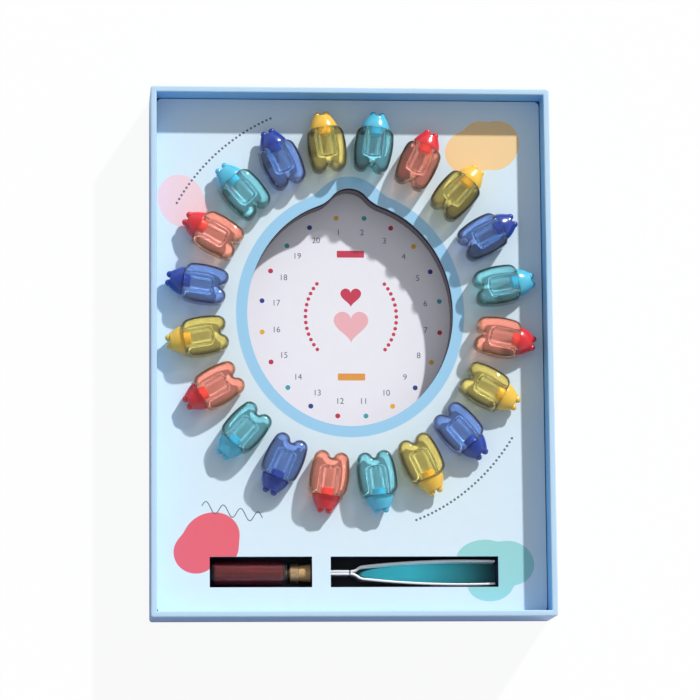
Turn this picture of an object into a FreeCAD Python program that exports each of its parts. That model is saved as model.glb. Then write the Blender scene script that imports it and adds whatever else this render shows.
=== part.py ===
# Baby tooth box: an open board tray with a foam insert that holds twenty tooth capsules,
# a corked vial and a pair of tweezers. Millimetres, +Z up, origin at the middle of the underside.
# X runs across the box and Y along it, with the tweezers and the vial at the -Y end.

import FreeCAD
import Part
import Sketcher
import os

SIZES = {
    # Tray of covered board
    "box_width": 200.0,
    "box_length": 265.0,
    "box_height": 33.0,
    "wall_board": 3.0,
    "floor_board": 2.5,
    # Insert: floor cards, foam and printed top board
    "floor_card": 1.0,
    "card_gap": 0.4,
    "card_margin": 12.0,
    "foam_depth": 14.0,
    "top_board": 1.0,
    "insert_gap": 0.4,
    "insert_corner": 2.5,
    # Layout of the capsule ring and the window inside it
    "layout_y": 20.5,
    "side_room": 3.5,
    "end_room": 6.5,
    "side_band": 26.5,
    "end_band": 30.0,
    "capsule_gap": 3.6,
    "notch_radius": 11.0,
    "notch_rise": 6.5,
    "notch_blend": 16.0,
    # Slots
    "slot_width": 15.2,
    "slot_room": 12.7,
    "slot_divider": 9.2,
    "slots_shift": 0.9,
    "slot_clearance": 0.3,
    # Capsule body: a thick tooth outline, measured from its flat mouth
    "body_length": 22.0,
    "body_half_width": 9.75,
    "body_belly": 9.0,
    "body_depth": 13.0,
    "body_edge": 3.4,
    "root_radius": 4.0,
    "root_spread": 4.7,
    "cleft_radius": 1.1,
    "bore_radius": 5.15,
    "bore_depth": 15.0,
    "seat_clearance": 0.4,
    # Capsule cap: a dome with two knobs, and the plug that goes into the bore
    "cap_half_width": 7.1,
    "cap_clearance": 0.3,
    "cap_length": 6.8,
    "ear_radius": 1.7,
    "ear_spread": 2.2,
    "ear_sink": 1.4,
    "plug_clearance": 0.05,
    "plug_length": 3.6,
    # Vial, lying along X with its foot at the -X end
    "vial_radius": 6.8,
    "vial_wall": 0.9,
    "vial_foot": 1.4,
    "vial_body": 37.4,
    "shoulder_length": 2.0,
    "neck_length": 4.6,
    "neck_wall": 1.2,
    "lip_length": 1.5,
    "lip_step": 0.6,
    "cork_radius": 3.65,
    "cork_flare": 0.9,
    "cork_plug": 4.4,
    "cork_head": 6.0,
    "cork_room": 5.6,
    "fill_gap": 0.3,
    "rest_gap": 0.3,
    # Tweezers, lying on edge along X with the joined heel at the -X end
    "strip": 1.2,
    "strip_gap": 0.1,
    "strip_depth": 10.0,
    "heel_length": 9.25,
    "fork_radius": 5.4,
    "fork_turn": 40.0,
    "fork_return": 33.6,
    "bow_radius": 445.0,
    "bow_turn": 8.5,
    # How far a cutting shape runs past the solid that it cuts
    "overrun": 1.0,
}

# The cap's sections beyond its mouth: where the middle one lies, and each one's share of the mouth
CAP_MIDDLE_LENGTH_SHARE = 0.55
CAP_MIDDLE_SHARE = 0.82
CAP_END_SHARE = 0.52

# Places and sizes that follow from the sheet, as expressions
INNER_X = "(Sizes.box_width / 2 - Sizes.wall_board)"
INNER_Y = "(Sizes.box_length / 2 - Sizes.wall_board)"
WALL_RISE = "(Sizes.box_height - Sizes.floor_board)"
CARD_TOP = "(Sizes.floor_board + Sizes.floor_card)"
FOAM_TOP = f"({CARD_TOP} + Sizes.foam_depth)"
INSERT_X = f"({INNER_X} - Sizes.insert_gap)"
INSERT_Y = f"({INNER_Y} - Sizes.insert_gap)"
CAP_REACH = "(Sizes.cap_length + 2 * Sizes.ear_radius - Sizes.ear_sink)"
HALF_CAPSULE = f"(({CAP_REACH} + Sizes.body_length) / 2)"
RING_X = f"({INNER_X} - Sizes.side_room - {HALF_CAPSULE})"
RING_Y = f"({INNER_Y} - Sizes.end_room - Sizes.layout_y - {HALF_CAPSULE})"
MOUTH_STEP = f"({HALF_CAPSULE} - {CAP_REACH})"
# Neighbours are closest at the ends of the oval's shorter half, where their bellies are a pitch apart
BELLY_RING = f"(min({RING_X}; {RING_Y}) + {MOUTH_STEP} - Sizes.body_belly)"
CAPSULE_PITCH = "(2 * Sizes.body_half_width + Sizes.capsule_gap)"
CAPSULE_ROOM = f"(180deg / asin({CAPSULE_PITCH} / (2 * {BELLY_RING})))"
WINDOW_X = f"({RING_X} - Sizes.side_band)"
WINDOW_Y = f"({RING_Y} - Sizes.end_band)"
CAPSULE_AXIS = f"({FOAM_TOP} + Sizes.body_depth / 2)"
CAP_HALF_DEPTH = "(Sizes.body_depth / 2 - Sizes.top_board - Sizes.cap_clearance)"
SEAT_INSET = ("(Sizes.body_edge - sqrt(Sizes.body_edge ^ 2 - (Sizes.body_edge - Sizes.top_board) ^ 2)"
              " - Sizes.seat_clearance)")
VIAL_LENGTH = "(Sizes.vial_body + Sizes.shoulder_length + Sizes.neck_length + Sizes.cork_head)"
VIAL_SLOT = f"({VIAL_LENGTH} + 2 * Sizes.slot_clearance)"
FORK_LEAN = "(Sizes.fork_turn - Sizes.fork_return)"
FORK_REACH = f"(Sizes.fork_radius * (2 * sin(Sizes.fork_turn * 1deg) - sin({FORK_LEAN} * 1deg)))"
BOW_REACH = (f"(Sizes.bow_radius * (sin({FORK_LEAN} * 1deg)"
             f" + sin((Sizes.bow_turn - {FORK_LEAN}) * 1deg)))")
TWEEZERS_LENGTH = f"(Sizes.heel_length + Sizes.strip_gap + Sizes.strip + {FORK_REACH} + {BOW_REACH})"
TWEEZERS_SLOT = f"({TWEEZERS_LENGTH} + 2 * Sizes.slot_clearance)"
SLOTS_LEFT = f"(Sizes.slots_shift - ({VIAL_SLOT} + Sizes.slot_divider + {TWEEZERS_SLOT}) / 2)"
TWEEZERS_LEFT = f"({SLOTS_LEFT} + {VIAL_SLOT} + Sizes.slot_divider)"
SLOT_LOW = f"(-{INNER_Y} + Sizes.slot_room)"
SLOT_MIDDLE = f"({SLOT_LOW} + Sizes.slot_width / 2)"
CARD_SPLIT = f"({SLOT_LOW} + Sizes.slot_width + Sizes.card_margin)"
VIAL_AXIS = f"({CARD_TOP} + Sizes.rest_gap + Sizes.vial_radius)"
VIAL_LEFT = f"({SLOTS_LEFT} + Sizes.slot_clearance)"
NECK_LEFT = f"({VIAL_LEFT} + Sizes.vial_body + Sizes.shoulder_length)"
GLASS_RIGHT = f"({NECK_LEFT} + Sizes.neck_length)"
NECK_BORE = "(Sizes.cork_radius + Sizes.plug_clearance)"
NECK_RADIUS = f"({NECK_BORE} + Sizes.neck_wall)"
HEEL_LEFT = f"({TWEEZERS_LEFT} + Sizes.slot_clearance)"
FORK_X = f"({HEEL_LEFT} + Sizes.heel_length + Sizes.strip_gap + Sizes.strip / 2)"
ARM_OFFSET = "((Sizes.strip + Sizes.strip_gap) / 2)"

doc = FreeCAD.newDocument("ToothBox")
sheet = doc.addObject("Spreadsheet::Sheet", "Sizes")
for row, (alias, value) in enumerate(SIZES.items(), start=1):
    sheet.set(f"A{row}", alias)
    sheet.set(f"B{row}", str(value))
    sheet.setAlias(f"B{row}", alias)
doc.recompute()


def number(expression):
    """The value of an expression on the sheet, as a plain number."""
    result = sheet.evalExpression(expression)
    return float(getattr(result, "Value", result))


def bind(obj, **expressions):
    """Bind properties to expressions; x, y, z and turn are parts of the placement."""
    places = {"x": "Placement.Base.x", "y": "Placement.Base.y", "z": "Placement.Base.z",
              "turn": "Placement.Rotation.Angle"}
    for name, expression in expressions.items():
        obj.setExpression(places.get(name, name), expression)
    return obj


def turned(obj, axis, angle):
    """Turn an object about one axis of its own placement."""
    obj.Placement = FreeCAD.Placement(FreeCAD.Vector(), FreeCAD.Rotation(axis, angle))
    return obj


QUARTER_TURN = 90
ALONG_X = (FreeCAD.Vector(0, 1, 0), QUARTER_TURN)
UPWARD = FreeCAD.Vector(0, 0, 1)
CAPSULE_COUNT = int(number(CAPSULE_ROOM))
CAPSULE_STEP = 4 * QUARTER_TURN / CAPSULE_COUNT
FIRST_ANGLE = QUARTER_TURN + CAPSULE_STEP / 2


def box(name, length, width, height, x, y, z):
    """A box whose sizes and lowest corner are expressions."""
    piece = doc.addObject("Part::Box", name)
    return bind(piece, Length=length, Width=width, Height=height, x=x, y=y, z=z)


def rod(name, radius, length, x, y, z):
    """A cylinder along X from the point given."""
    piece = turned(doc.addObject("Part::Cylinder", name), *ALONG_X)
    return bind(piece, Radius=radius, Height=length, x=x, y=y, z=z)


def taper(name, first_radius, last_radius, length, x, y, z):
    """A cone frustum along X from the point given."""
    piece = turned(doc.addObject("Part::Cone", name), *ALONG_X)
    return bind(piece, Radius1=first_radius, Radius2=last_radius, Height=length, x=x, y=y, z=z)


def joined(name, *pieces):
    """One solid made of several."""
    fuse = doc.addObject("Part::MultiFuse", name)
    fuse.Shapes = list(pieces)
    fuse.Refine = True
    return fuse


def less(name, base, tool):
    """A solid with a tool cut out of it."""
    cut = doc.addObject("Part::Cut", name)
    cut.Base = base
    cut.Tool = tool
    return cut


def upright_edges(shape, test):
    """Numbers of the straight edges along Z whose middle passes a test."""
    found = []
    for index, edge in enumerate(shape.Edges, start=1):
        first, last = edge.firstVertex().Point, edge.lastVertex().Point
        level = (last - first).Length
        if level and abs(abs((last - first).z) - level) < level * Part.Precision.confusion():
            if test((first + last) / 2):
                found.append(index)
    return found


def rounded(name, base, radius_name, test):
    """A solid with some of its upright edges rounded to a size of the sheet."""
    doc.recompute()
    radius = number(f"Sizes.{radius_name}")
    fillet = doc.addObject("Part::Fillet", name)
    fillet.Base = base
    fillet.Edges = [(index, radius, radius) for index in upright_edges(base.Shape, test)]
    return fillet


def origin_plane(body, role):
    """One of a body's own origin planes."""
    return next(feature for feature in body.Origin.OriginFeatures if feature.Role == role)


def sketch_on(body, name, role, offset=None):
    """An empty sketch on a body's origin plane, lifted along the plane's normal."""
    sketch = body.newObject("Sketcher::SketchObject", name)
    sketch.AttachmentSupport = [(origin_plane(body, role), "")]
    sketch.MapMode = "FlatFace"
    if offset:
        sketch.setExpression("AttachmentOffset.Base.z", offset)
    return sketch


def sized(sketch, kind, *places, name, expression):
    """A dimension of a sketch bound to an expression."""
    index = sketch.addConstraint(Sketcher.Constraint(kind, *places, number(expression)))
    sketch.renameConstraint(index, name)
    sketch.setExpression(f".Constraints.{name}", expression)


def arc(centre, radius, start, end):
    """A counter-clockwise arc between the directions of two points."""
    circle = Part.Circle(FreeCAD.Vector(*centre, 0), UPWARD, radius)
    first = circle.parameter(FreeCAD.Vector(*start, 0))
    last = circle.parameter(FreeCAD.Vector(*end, 0))
    return Part.ArcOfCircle(circle, first, last)


def tooth_outline(sketch, inset, mouth):
    """A tooth seen from its side: a flat mouth, two bulging sides and two round roots with a cleft.

    The mouth lies across X at the given place, and every curve is drawn in by the inset.
    """
    root = f"(Sizes.root_radius - {inset})"
    cleft = f"(Sizes.cleft_radius + {inset})"
    half_width = f"(Sizes.body_half_width - {inset})"
    root_x = "(Sizes.body_length - Sizes.root_radius)"
    root_y = "Sizes.root_spread"
    root_r, cleft_r, half = number(root), number(cleft), number(half_width)
    root_back, spread, belly = number(root_x), number(root_y), number("Sizes.body_belly")
    mouth_x = number(mouth)

    # Side circle: widest at the belly and touching the root circle from outside
    reach = root_back - belly
    rise = half - spread
    side_r = (reach ** 2 + rise ** 2 - root_r ** 2) / (2 * (rise - root_r))
    side = (-belly, half - side_r)
    mouth_y = side[1] + (side_r ** 2 - (mouth_x - side[0]) ** 2) ** 0.5
    touch_share = side_r / (side_r - root_r)
    touch = tuple(s + (r - s) * touch_share for s, r in zip(side, (-root_back, spread)))
    # Cleft circle: touches both root circles, on the far side from the mouth
    cleft_x = -root_back - ((root_r + cleft_r) ** 2 - spread ** 2) ** 0.5
    cleft_share = root_r / (root_r + cleft_r)
    dip = (-root_back + (cleft_x + root_back) * cleft_share, spread * (1 - cleft_share))

    def flip(point):
        return (point[0], -point[1])

    corner = (mouth_x, mouth_y)
    root_centre = (-root_back, spread)
    mouth_ends = (FreeCAD.Vector(*flip(corner), 0), FreeCAD.Vector(*corner, 0))
    sketch.addGeometry(Part.LineSegment(*mouth_ends), False)
    sketch.addGeometry(arc(side, side_r, corner, touch), False)
    sketch.addGeometry(arc(root_centre, root_r, touch, dip), False)
    sketch.addGeometry(arc((cleft_x, 0), cleft_r, flip(dip), dip), False)
    sketch.addGeometry(arc(flip(root_centre), root_r, flip(dip), flip(touch)), False)
    sketch.addGeometry(arc(flip(side), side_r, flip(touch), flip(corner)), False)
    sketch.addGeometry(Part.Point(FreeCAD.Vector(-belly, half, 0)), True)

    start, end, centre = 1, 2, 3
    line, upper_side, upper_root, cleft_arc, lower_root, lower_side, widest = range(7)
    across, along = -1, -2
    for constraint in (
        ("Coincident", line, end, upper_side, start),
        ("Tangent", upper_side, end, upper_root, start),
        ("Tangent", upper_root, end, cleft_arc, end),
        ("Tangent", cleft_arc, start, lower_root, start),
        ("Tangent", lower_root, end, lower_side, start),
        ("Coincident", lower_side, end, line, start),
        ("Vertical", line),
        ("Symmetric", upper_root, centre, lower_root, centre, across),
        ("Equal", upper_root, lower_root),
        ("Symmetric", upper_side, centre, lower_side, centre, across),
        ("PointOnObject", widest, start, upper_side),
        ("Vertical", widest, start, upper_side, centre),
    ):
        sketch.addConstraint(Sketcher.Constraint(*constraint))
    origin = (across, start)
    sized(sketch, "Radius", upper_root, name="root", expression=root)
    sized(sketch, "Radius", cleft_arc, name="cleft", expression=cleft)
    sized(sketch, "DistanceX", upper_root, centre, *origin, name="root_back", expression=root_x)
    sized(sketch, "DistanceY", *origin, upper_root, centre, name="root_side", expression=root_y)
    sized(sketch, "DistanceX", widest, start, *origin, name="belly", expression="Sizes.body_belly")
    sized(sketch, "DistanceY", *origin, widest, start, name="half_width", expression=half_width)
    if mouth == "0":
        sketch.addConstraint(Sketcher.Constraint("PointOnObject", line, start, along))
    else:
        sized(sketch, "DistanceX", *origin, line, start, name="mouth", expression=mouth)


def capsule_body():
    """The clear capsule: a padded tooth outline with rounded rims and a round pocket in its mouth."""
    body = doc.addObject("PartDesign::Body", "CapsuleMaster")
    outline = sketch_on(body, "ToothOutline", "XY_Plane", "-Sizes.body_depth / 2")
    tooth_outline(outline, "0", "0")
    pad = body.newObject("PartDesign::Pad", "ToothPad")
    pad.Profile = outline
    pad.setExpression("Length", "Sizes.body_depth")
    doc.recompute()

    half_depth = number("Sizes.body_depth") / 2
    mouth_reach = number("Sizes.body_length") * Part.Precision.confusion()
    rims = []
    for index, edge in enumerate(pad.Shape.Edges, start=1):
        extent = edge.BoundBox
        flat = extent.ZLength < mouth_reach and abs(abs(extent.ZMin) - half_depth) < mouth_reach
        if flat and extent.XMin < -mouth_reach:
            rims.append(f"Edge{index}")
    fillet = body.newObject("PartDesign::Fillet", "RoundedRims")
    fillet.Base = (pad, rims)
    fillet.setExpression("Radius", "Sizes.body_edge")
    doc.recompute()

    mouth = sketch_on(body, "Bore", "YZ_Plane")
    mouth.addGeometry(Part.Circle(FreeCAD.Vector(), UPWARD, number("Sizes.bore_radius")), False)
    mouth.addConstraint(Sketcher.Constraint("Coincident", 0, 3, -1, 1))
    sized(mouth, "Radius", 0, name="bore", expression="Sizes.bore_radius")
    pocket = body.newObject("PartDesign::Pocket", "ToothPocket")
    pocket.Profile = mouth
    pocket.setExpression("Length", "Sizes.bore_depth")
    doc.recompute()
    cut_volume = fillet.Shape.Volume - pocket.Shape.Volume
    bore_volume = Part.makeCylinder(number("Sizes.bore_radius"), number("Sizes.bore_depth")).Volume
    if cut_volume < bore_volume / 2:
        pocket.Reversed = True
        doc.recompute()
    return body


def seat_cutter():
    """The hole that a capsule stands in: the outline of its rounded underside, with a clearance."""
    body = doc.addObject("PartDesign::Body", "SeatMaster")
    outline = sketch_on(body, "SeatOutline", "XY_Plane", "-Sizes.overrun")
    tooth_outline(outline, SEAT_INSET, "Sizes.seat_clearance")
    pad = body.newObject("PartDesign::Pad", "SeatPad")
    pad.Profile = outline
    pad.setExpression("Length", "Sizes.top_board + 2 * Sizes.overrun")
    return body


def ellipse_across_x(name, half_width, half_depth, x):
    """An ellipse that faces along X, with its width along Y."""
    section = doc.addObject("Part::Ellipse", name)
    across, outward = FreeCAD.Vector(0, 1, 0), FreeCAD.Vector(1, 0, 0)
    facing = FreeCAD.Rotation(across, UPWARD, outward, "XYZ")
    section.Placement = FreeCAD.Placement(FreeCAD.Vector(), facing)
    return bind(section, MajorRadius=half_width, MinorRadius=half_depth, x=x)


def capsule_cap():
    """The cap: a dome through three ellipses, two round knobs on its end and a plug behind it."""
    shares = ((0, 1), (CAP_MIDDLE_LENGTH_SHARE, CAP_MIDDLE_SHARE), (1, CAP_END_SHARE))
    sections = []
    for count, (place, share) in enumerate(shares):
        sections.append(ellipse_across_x(
            f"CapSection{count}", f"Sizes.cap_half_width * {share}",
            f"{CAP_HALF_DEPTH} * {share}", f"Sizes.cap_length * {place}"))
    dome = doc.addObject("Part::Loft", "CapDome")
    dome.Sections = sections
    dome.Solid = True
    plug = rod("CapPlug", "Sizes.bore_radius - Sizes.plug_clearance",
               "Sizes.plug_length + Sizes.overrun", "-Sizes.plug_length", "0", "0")
    ears = []
    for side in (1, -1):
        ear = doc.addObject("Part::Sphere", "CapEar")
        ears.append(bind(ear, Radius="Sizes.ear_radius", y=f"{side} * Sizes.ear_spread",
                         x="Sizes.cap_length + Sizes.ear_radius - Sizes.ear_sink"))
    return joined("CapMaster", dome, plug, *ears)


def placed(label, master, angle, level):
    """A copy of a master at one place of the oval ring, its mouth turned outwards from the middle."""
    across = f"({RING_X} * cos({angle}deg))"
    along = f"({RING_Y} * sin({angle}deg))"
    out = f"({MOUTH_STEP} / sqrt({across} ^ 2 + {along} ^ 2))"
    # Any turn other than none fixes the axis that the bound angle then turns about
    copy = turned(doc.addObject("Part::Compound", label), UPWARD, angle)
    copy.Links = [master]
    return bind(copy, x=f"{across} * (1 + {out})", y=f"Sizes.layout_y + {along} * (1 + {out})",
                z=level, turn=f"atan2({along}; {across})")


def tray():
    """Bottom board and four walls that stand on it."""
    left, front = "-Sizes.box_width / 2", "-Sizes.box_length / 2"
    width, length = "Sizes.box_width", "Sizes.box_length"
    wall = "Sizes.wall_board"
    base = "Sizes.floor_board"
    across = f"2 * {INNER_X}"
    return {
        "bottom_board": box("BottomBoard", width, length, base, left, front, "0"),
        "left_wall": box("LeftWall", wall, length, WALL_RISE, left, front, base),
        "right_wall": box("RightWall", wall, length, WALL_RISE, INNER_X, front, base),
        "front_wall": box("FrontWall", across, wall, WALL_RISE, f"-{INNER_X}", front, base),
        "back_wall": box("BackWall", across, wall, WALL_RISE, f"-{INNER_X}", INNER_Y, base),
    }


def floor_cards():
    """The chart card under the window and the dark card under the two slots."""
    width = f"2 * {INSERT_X}"
    base = "Sizes.floor_board"
    chart = box("ChartCard", width, f"{INSERT_Y} - {CARD_SPLIT}", "Sizes.floor_card",
                f"-{INSERT_X}", CARD_SPLIT, base)
    slots = box("SlotCard", width, f"{CARD_SPLIT} - Sizes.card_gap + {INSERT_Y}", "Sizes.floor_card",
                f"-{INSERT_X}", f"-{INSERT_Y}", base)
    return {"chart_card": chart, "slot_floor_card": slots}


def insert_layer(name, bottom, depth, cork_room):
    """One layer of the insert: a sheet with the window, its finger notch and the two slots."""
    tool_bottom = f"({bottom} - Sizes.overrun)"
    tool_depth = f"({depth} + 2 * Sizes.overrun)"
    slab = box(f"{name}Slab", f"2 * {INSERT_X}", f"2 * {INSERT_Y}", depth,
               f"-{INSERT_X}", f"-{INSERT_Y}", bottom)
    sheet_piece = rounded(f"{name}Sheet", slab, "insert_corner", lambda middle: True)

    # The longer half of the window is the ellipse's major one, whether it lies along X or Y
    oval = turned(doc.addObject("Part::Ellipse", f"{name}Oval"), UPWARD, QUARTER_TURN)
    bind(oval, MajorRadius=f"max({WINDOW_X}; {WINDOW_Y})", MinorRadius=f"min({WINDOW_X}; {WINDOW_Y})",
         turn=f"{WINDOW_X} > {WINDOW_Y} ? 0deg : {QUARTER_TURN}deg", y="Sizes.layout_y", z=tool_bottom)
    window = doc.addObject("Part::Extrusion", f"{name}Window")
    window.Base = oval
    window.DirMode = "Custom"
    window.Dir = UPWARD
    window.Solid = True
    bind(window, LengthFwd=tool_depth)
    notch_y = f"Sizes.layout_y + {WINDOW_Y} + Sizes.notch_rise - Sizes.notch_radius"
    notch = doc.addObject("Part::Cylinder", f"{name}Notch")
    bind(notch, Radius="Sizes.notch_radius", Height=tool_depth, y=notch_y, z=tool_bottom)
    slots = [
        box(f"{name}VialSlot", f"{VIAL_SLOT} + {cork_room}", "Sizes.slot_width", tool_depth,
            SLOTS_LEFT, SLOT_LOW, tool_bottom),
        box(f"{name}TweezersSlot", TWEEZERS_SLOT, "Sizes.slot_width", tool_depth,
            TWEEZERS_LEFT, SLOT_LOW, tool_bottom),
    ]
    opened = less(f"{name}Opened", sheet_piece, joined(f"{name}Openings", window, notch, *slots))
    notch_foot = number(f"Sizes.layout_y + {WINDOW_Y} / 2")
    notch_side = number("2 * Sizes.notch_radius")
    blended = rounded(f"{name}Blended", opened, "notch_blend",
                      lambda middle: middle.y > notch_foot and abs(middle.x) < notch_side)
    return blended


def insert(seats):
    """The foam and the printed board on it, which has a hole for each capsule to stand in."""
    foam = insert_layer("Foam", CARD_TOP, "Sizes.foam_depth", "Sizes.cork_room")
    board = insert_layer("Board", FOAM_TOP, "Sizes.top_board", "0")
    holes = doc.addObject("Part::Compound", "SeatHoles")
    holes.Links = seats
    return {"foam_insert": foam, "insert_top_board": less("SeatedBoard", board, holes)}


def vial():
    """A necked glass vial, its cork and the filling that lies inside."""
    y, z = SLOT_MIDDLE, VIAL_AXIS
    wall = "Sizes.vial_wall"
    radius = "Sizes.vial_radius"
    bore = f"({radius} - {wall})"
    bore_left = f"({VIAL_LEFT} + Sizes.vial_foot)"
    bore_length = f"(Sizes.vial_body - Sizes.vial_foot - {wall})"
    shoulder = "Sizes.shoulder_length"
    shoulder_left = f"({VIAL_LEFT} + Sizes.vial_body)"
    neck = "Sizes.neck_length"
    lip_left = f"{GLASS_RIGHT} - Sizes.lip_length"
    plug, plug_radius = "Sizes.cork_plug", "Sizes.cork_radius"
    head_radius = f"{plug_radius} + Sizes.cork_flare"
    outside = joined(
        "VialOutside",
        rod("VialBarrel", radius, "Sizes.vial_body", VIAL_LEFT, y, z),
        taper("VialShoulder", radius, NECK_RADIUS, shoulder, shoulder_left, y, z),
        rod("VialNeck", NECK_RADIUS, neck, NECK_LEFT, y, z),
        rod("VialLip", f"{NECK_RADIUS} + Sizes.lip_step", "Sizes.lip_length", lip_left, y, z))
    inside = joined(
        "VialInside",
        rod("VialBore", bore, bore_length, bore_left, y, z),
        taper("VialThroat", bore, NECK_BORE, shoulder, f"{shoulder_left} - {wall}", y, z),
        rod("VialMouth", NECK_BORE, f"{neck} + {wall} + Sizes.overrun", f"{NECK_LEFT} - {wall}", y, z))
    cork = joined(
        "Cork",
        rod("CorkPlug", plug_radius, plug, f"{GLASS_RIGHT} - {plug}", y, z),
        taper("CorkHead", plug_radius, head_radius, "Sizes.cork_head", GLASS_RIGHT, y, z))
    fill = rod("Fill", f"{bore} - Sizes.fill_gap", f"{bore_length} - 2 * Sizes.fill_gap",
               f"{bore_left} + Sizes.fill_gap", y, z)
    return {"vial_glass": less("VialGlass", outside, inside), "vial_cork": cork, "vial_fill": fill}


def tweezers_arm(name, side):
    """A strip on edge, swept along three arcs: out from the fork, back along X and a long shallow bow."""
    body = doc.addObject("PartDesign::Body", name)
    turn, back = number("Sizes.fork_turn"), number("Sizes.fork_return")
    bend, bow = number("Sizes.fork_radius"), number("Sizes.bow_radius")
    heading = FreeCAD.Rotation(UPWARD, side * turn)
    lean = FreeCAD.Rotation(UPWARD, side * (turn - back))
    end = FreeCAD.Rotation(UPWARD, side * (turn - back - number("Sizes.bow_turn")))
    left = FreeCAD.Vector(0, side, 0)
    centres = [left * bend]
    joints = [FreeCAD.Vector(), centres[0] - heading.multVec(left) * bend]
    centres.append(joints[1] - heading.multVec(left) * bend)
    joints.append(centres[1] + lean.multVec(left) * bend)
    centres.append(joints[2] - lean.multVec(left) * bow)
    joints.append(centres[2] + end.multVec(left) * bow)

    path = sketch_on(body, f"{name}Path", "XY_Plane")
    for index, (centre, radius) in enumerate(zip(centres, (bend, bend, bow))):
        points = (joints[index], joints[index + 1])
        if (side > 0) != (index == 0):
            points = points[::-1]
        path.addGeometry(arc((centre.x, centre.y), radius, *((p.x, p.y) for p in points)), False)
    first_end, second_end = (2, 1) if side > 0 else (1, 2)
    begin = {0: 3 - first_end, 1: 3 - second_end, 2: 3 - second_end}
    finish = {0: first_end, 1: second_end, 2: second_end}
    path.addConstraint(Sketcher.Constraint("Coincident", 0, begin[0], -1, 1))
    path.addConstraint(Sketcher.Constraint("PointOnObject", 0, 3, -2))
    path.addConstraint(Sketcher.Constraint("Tangent", 0, finish[0], 1, begin[1]))
    path.addConstraint(Sketcher.Constraint("Tangent", 1, finish[1], 2, begin[2]))
    for index, (radius, span) in enumerate((("fork_radius", "fork_turn"), ("fork_radius", "fork_return"),
                                            ("bow_radius", "bow_turn"))):
        sized(path, "Radius", index, name=f"radius{index}", expression=f"Sizes.{radius}")
        turned_by = number(f"Sizes.{span} * 1deg / 1rad")
        angle = path.addConstraint(Sketcher.Constraint("Angle", index, turned_by))
        path.renameConstraint(angle, f"span{index}")
        path.setExpression(f".Constraints.span{index}", f"Sizes.{span} * 1deg")

    section = sketch_on(body, f"{name}Section", "YZ_Plane")
    half, depth = number("Sizes.strip / 2"), number("Sizes.strip_depth")
    corners = [FreeCAD.Vector(across, up) for across, up in
               ((-half, 0), (half, 0), (half, depth), (-half, depth))]
    for index, corner in enumerate(corners):
        following = corners[(index + 1) % len(corners)]
        section.addGeometry(Part.LineSegment(corner, following), False)
    for index in range(len(corners)):
        following = (index + 1) % len(corners)
        section.addConstraint(Sketcher.Constraint("Coincident", index, 2, following, 1))
        section.addConstraint(Sketcher.Constraint("Vertical" if index % 2 else "Horizontal", index))
    section.addConstraint(Sketcher.Constraint("Symmetric", 0, 1, 0, 2, -1, 1))
    sized(section, "DistanceX", 0, 1, 0, 2, name="strip", expression="Sizes.strip")
    sized(section, "DistanceY", 1, 1, 1, 2, name="depth", expression="Sizes.strip_depth")

    pipe = body.newObject("PartDesign::AdditivePipe", f"{name}Strip")
    pipe.Profile = section
    pipe.Spine = path
    doc.recompute()
    knuckle = body.newObject("PartDesign::AdditiveCylinder", f"{name}Knuckle")
    knuckle.setExpression("Radius", "Sizes.strip / 2")
    knuckle.setExpression("Height", "Sizes.strip_depth")
    doc.recompute()
    return bind(body, x=FORK_X, y=f"{SLOT_MIDDLE} + {side} * {ARM_OFFSET}",
                z=f"{CARD_TOP} + Sizes.rest_gap")


def tweezers():
    """The joined heel and the two arms that spring apart from it."""
    thickness = "(2 * Sizes.strip + Sizes.strip_gap)"
    heel = box("Heel", "Sizes.heel_length", thickness, "Sizes.strip_depth",
               HEEL_LEFT, f"{SLOT_MIDDLE} - {thickness} / 2", f"{CARD_TOP} + Sizes.rest_gap")
    return {
        "tweezers_heel": heel,
        "tweezers_upper_arm": tweezers_arm("UpperArm", 1),
        "tweezers_lower_arm": tweezers_arm("LowerArm", -1),
    }


def assemble():
    """Every sub-part of the box, by its own name."""
    capsule, cap, seat = capsule_body(), capsule_cap(), seat_cutter()
    doc.recompute()
    parts = {}
    seats = []
    for count in range(CAPSULE_COUNT):
        angle = FIRST_ANGLE - CAPSULE_STEP * count
        number_of = f"{count + 1:02d}"
        parts[f"tooth_capsule_{number_of}"] = placed(f"Capsule{number_of}", capsule, angle, CAPSULE_AXIS)
        parts[f"capsule_cap_{number_of}"] = placed(f"Cap{number_of}", cap, angle, CAPSULE_AXIS)
        seats.append(placed(f"Seat{number_of}", seat, angle, FOAM_TOP))
    for group in (tray(), floor_cards(), insert(seats), vial(), tweezers()):
        parts.update(group)
    for name, piece in parts.items():
        piece.Label = name
    doc.recompute()
    return parts


def check(parts):
    """Stop if an object failed or a sub-part is not one sound solid."""
    failed = [obj.Name for obj in doc.Objects if {"Invalid", "Error"} & set(obj.State)]
    if failed:
        raise RuntimeError(f"failed objects: {failed}")
    for name, piece in parts.items():
        shape = piece.Shape
        if shape.isNull() or not shape.isValid() or len(shape.Solids) != 1:
            raise RuntimeError(f"{name} is not one valid solid")


parts = assemble()
check(parts)
os.makedirs("parts", exist_ok=True)
for name, piece in parts.items():
    piece.Shape.exportStep(f"parts/{name}.step")
print(f"{len(parts)} sub-parts written")
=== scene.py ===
# %% [markdown]
# # A baby tooth box
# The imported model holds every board, capsule and tool at its real size and place. This lesson
# dresses it: folded paper, clear moulded plastic, cork, glass, sprung steel and printed ink. Each
# step says what the real thing is, how it could be made, and why it is made the way it is here.

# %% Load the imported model
import math

import bmesh
import bpy
import numpy as np
from mathutils import Matrix, Vector


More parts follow.
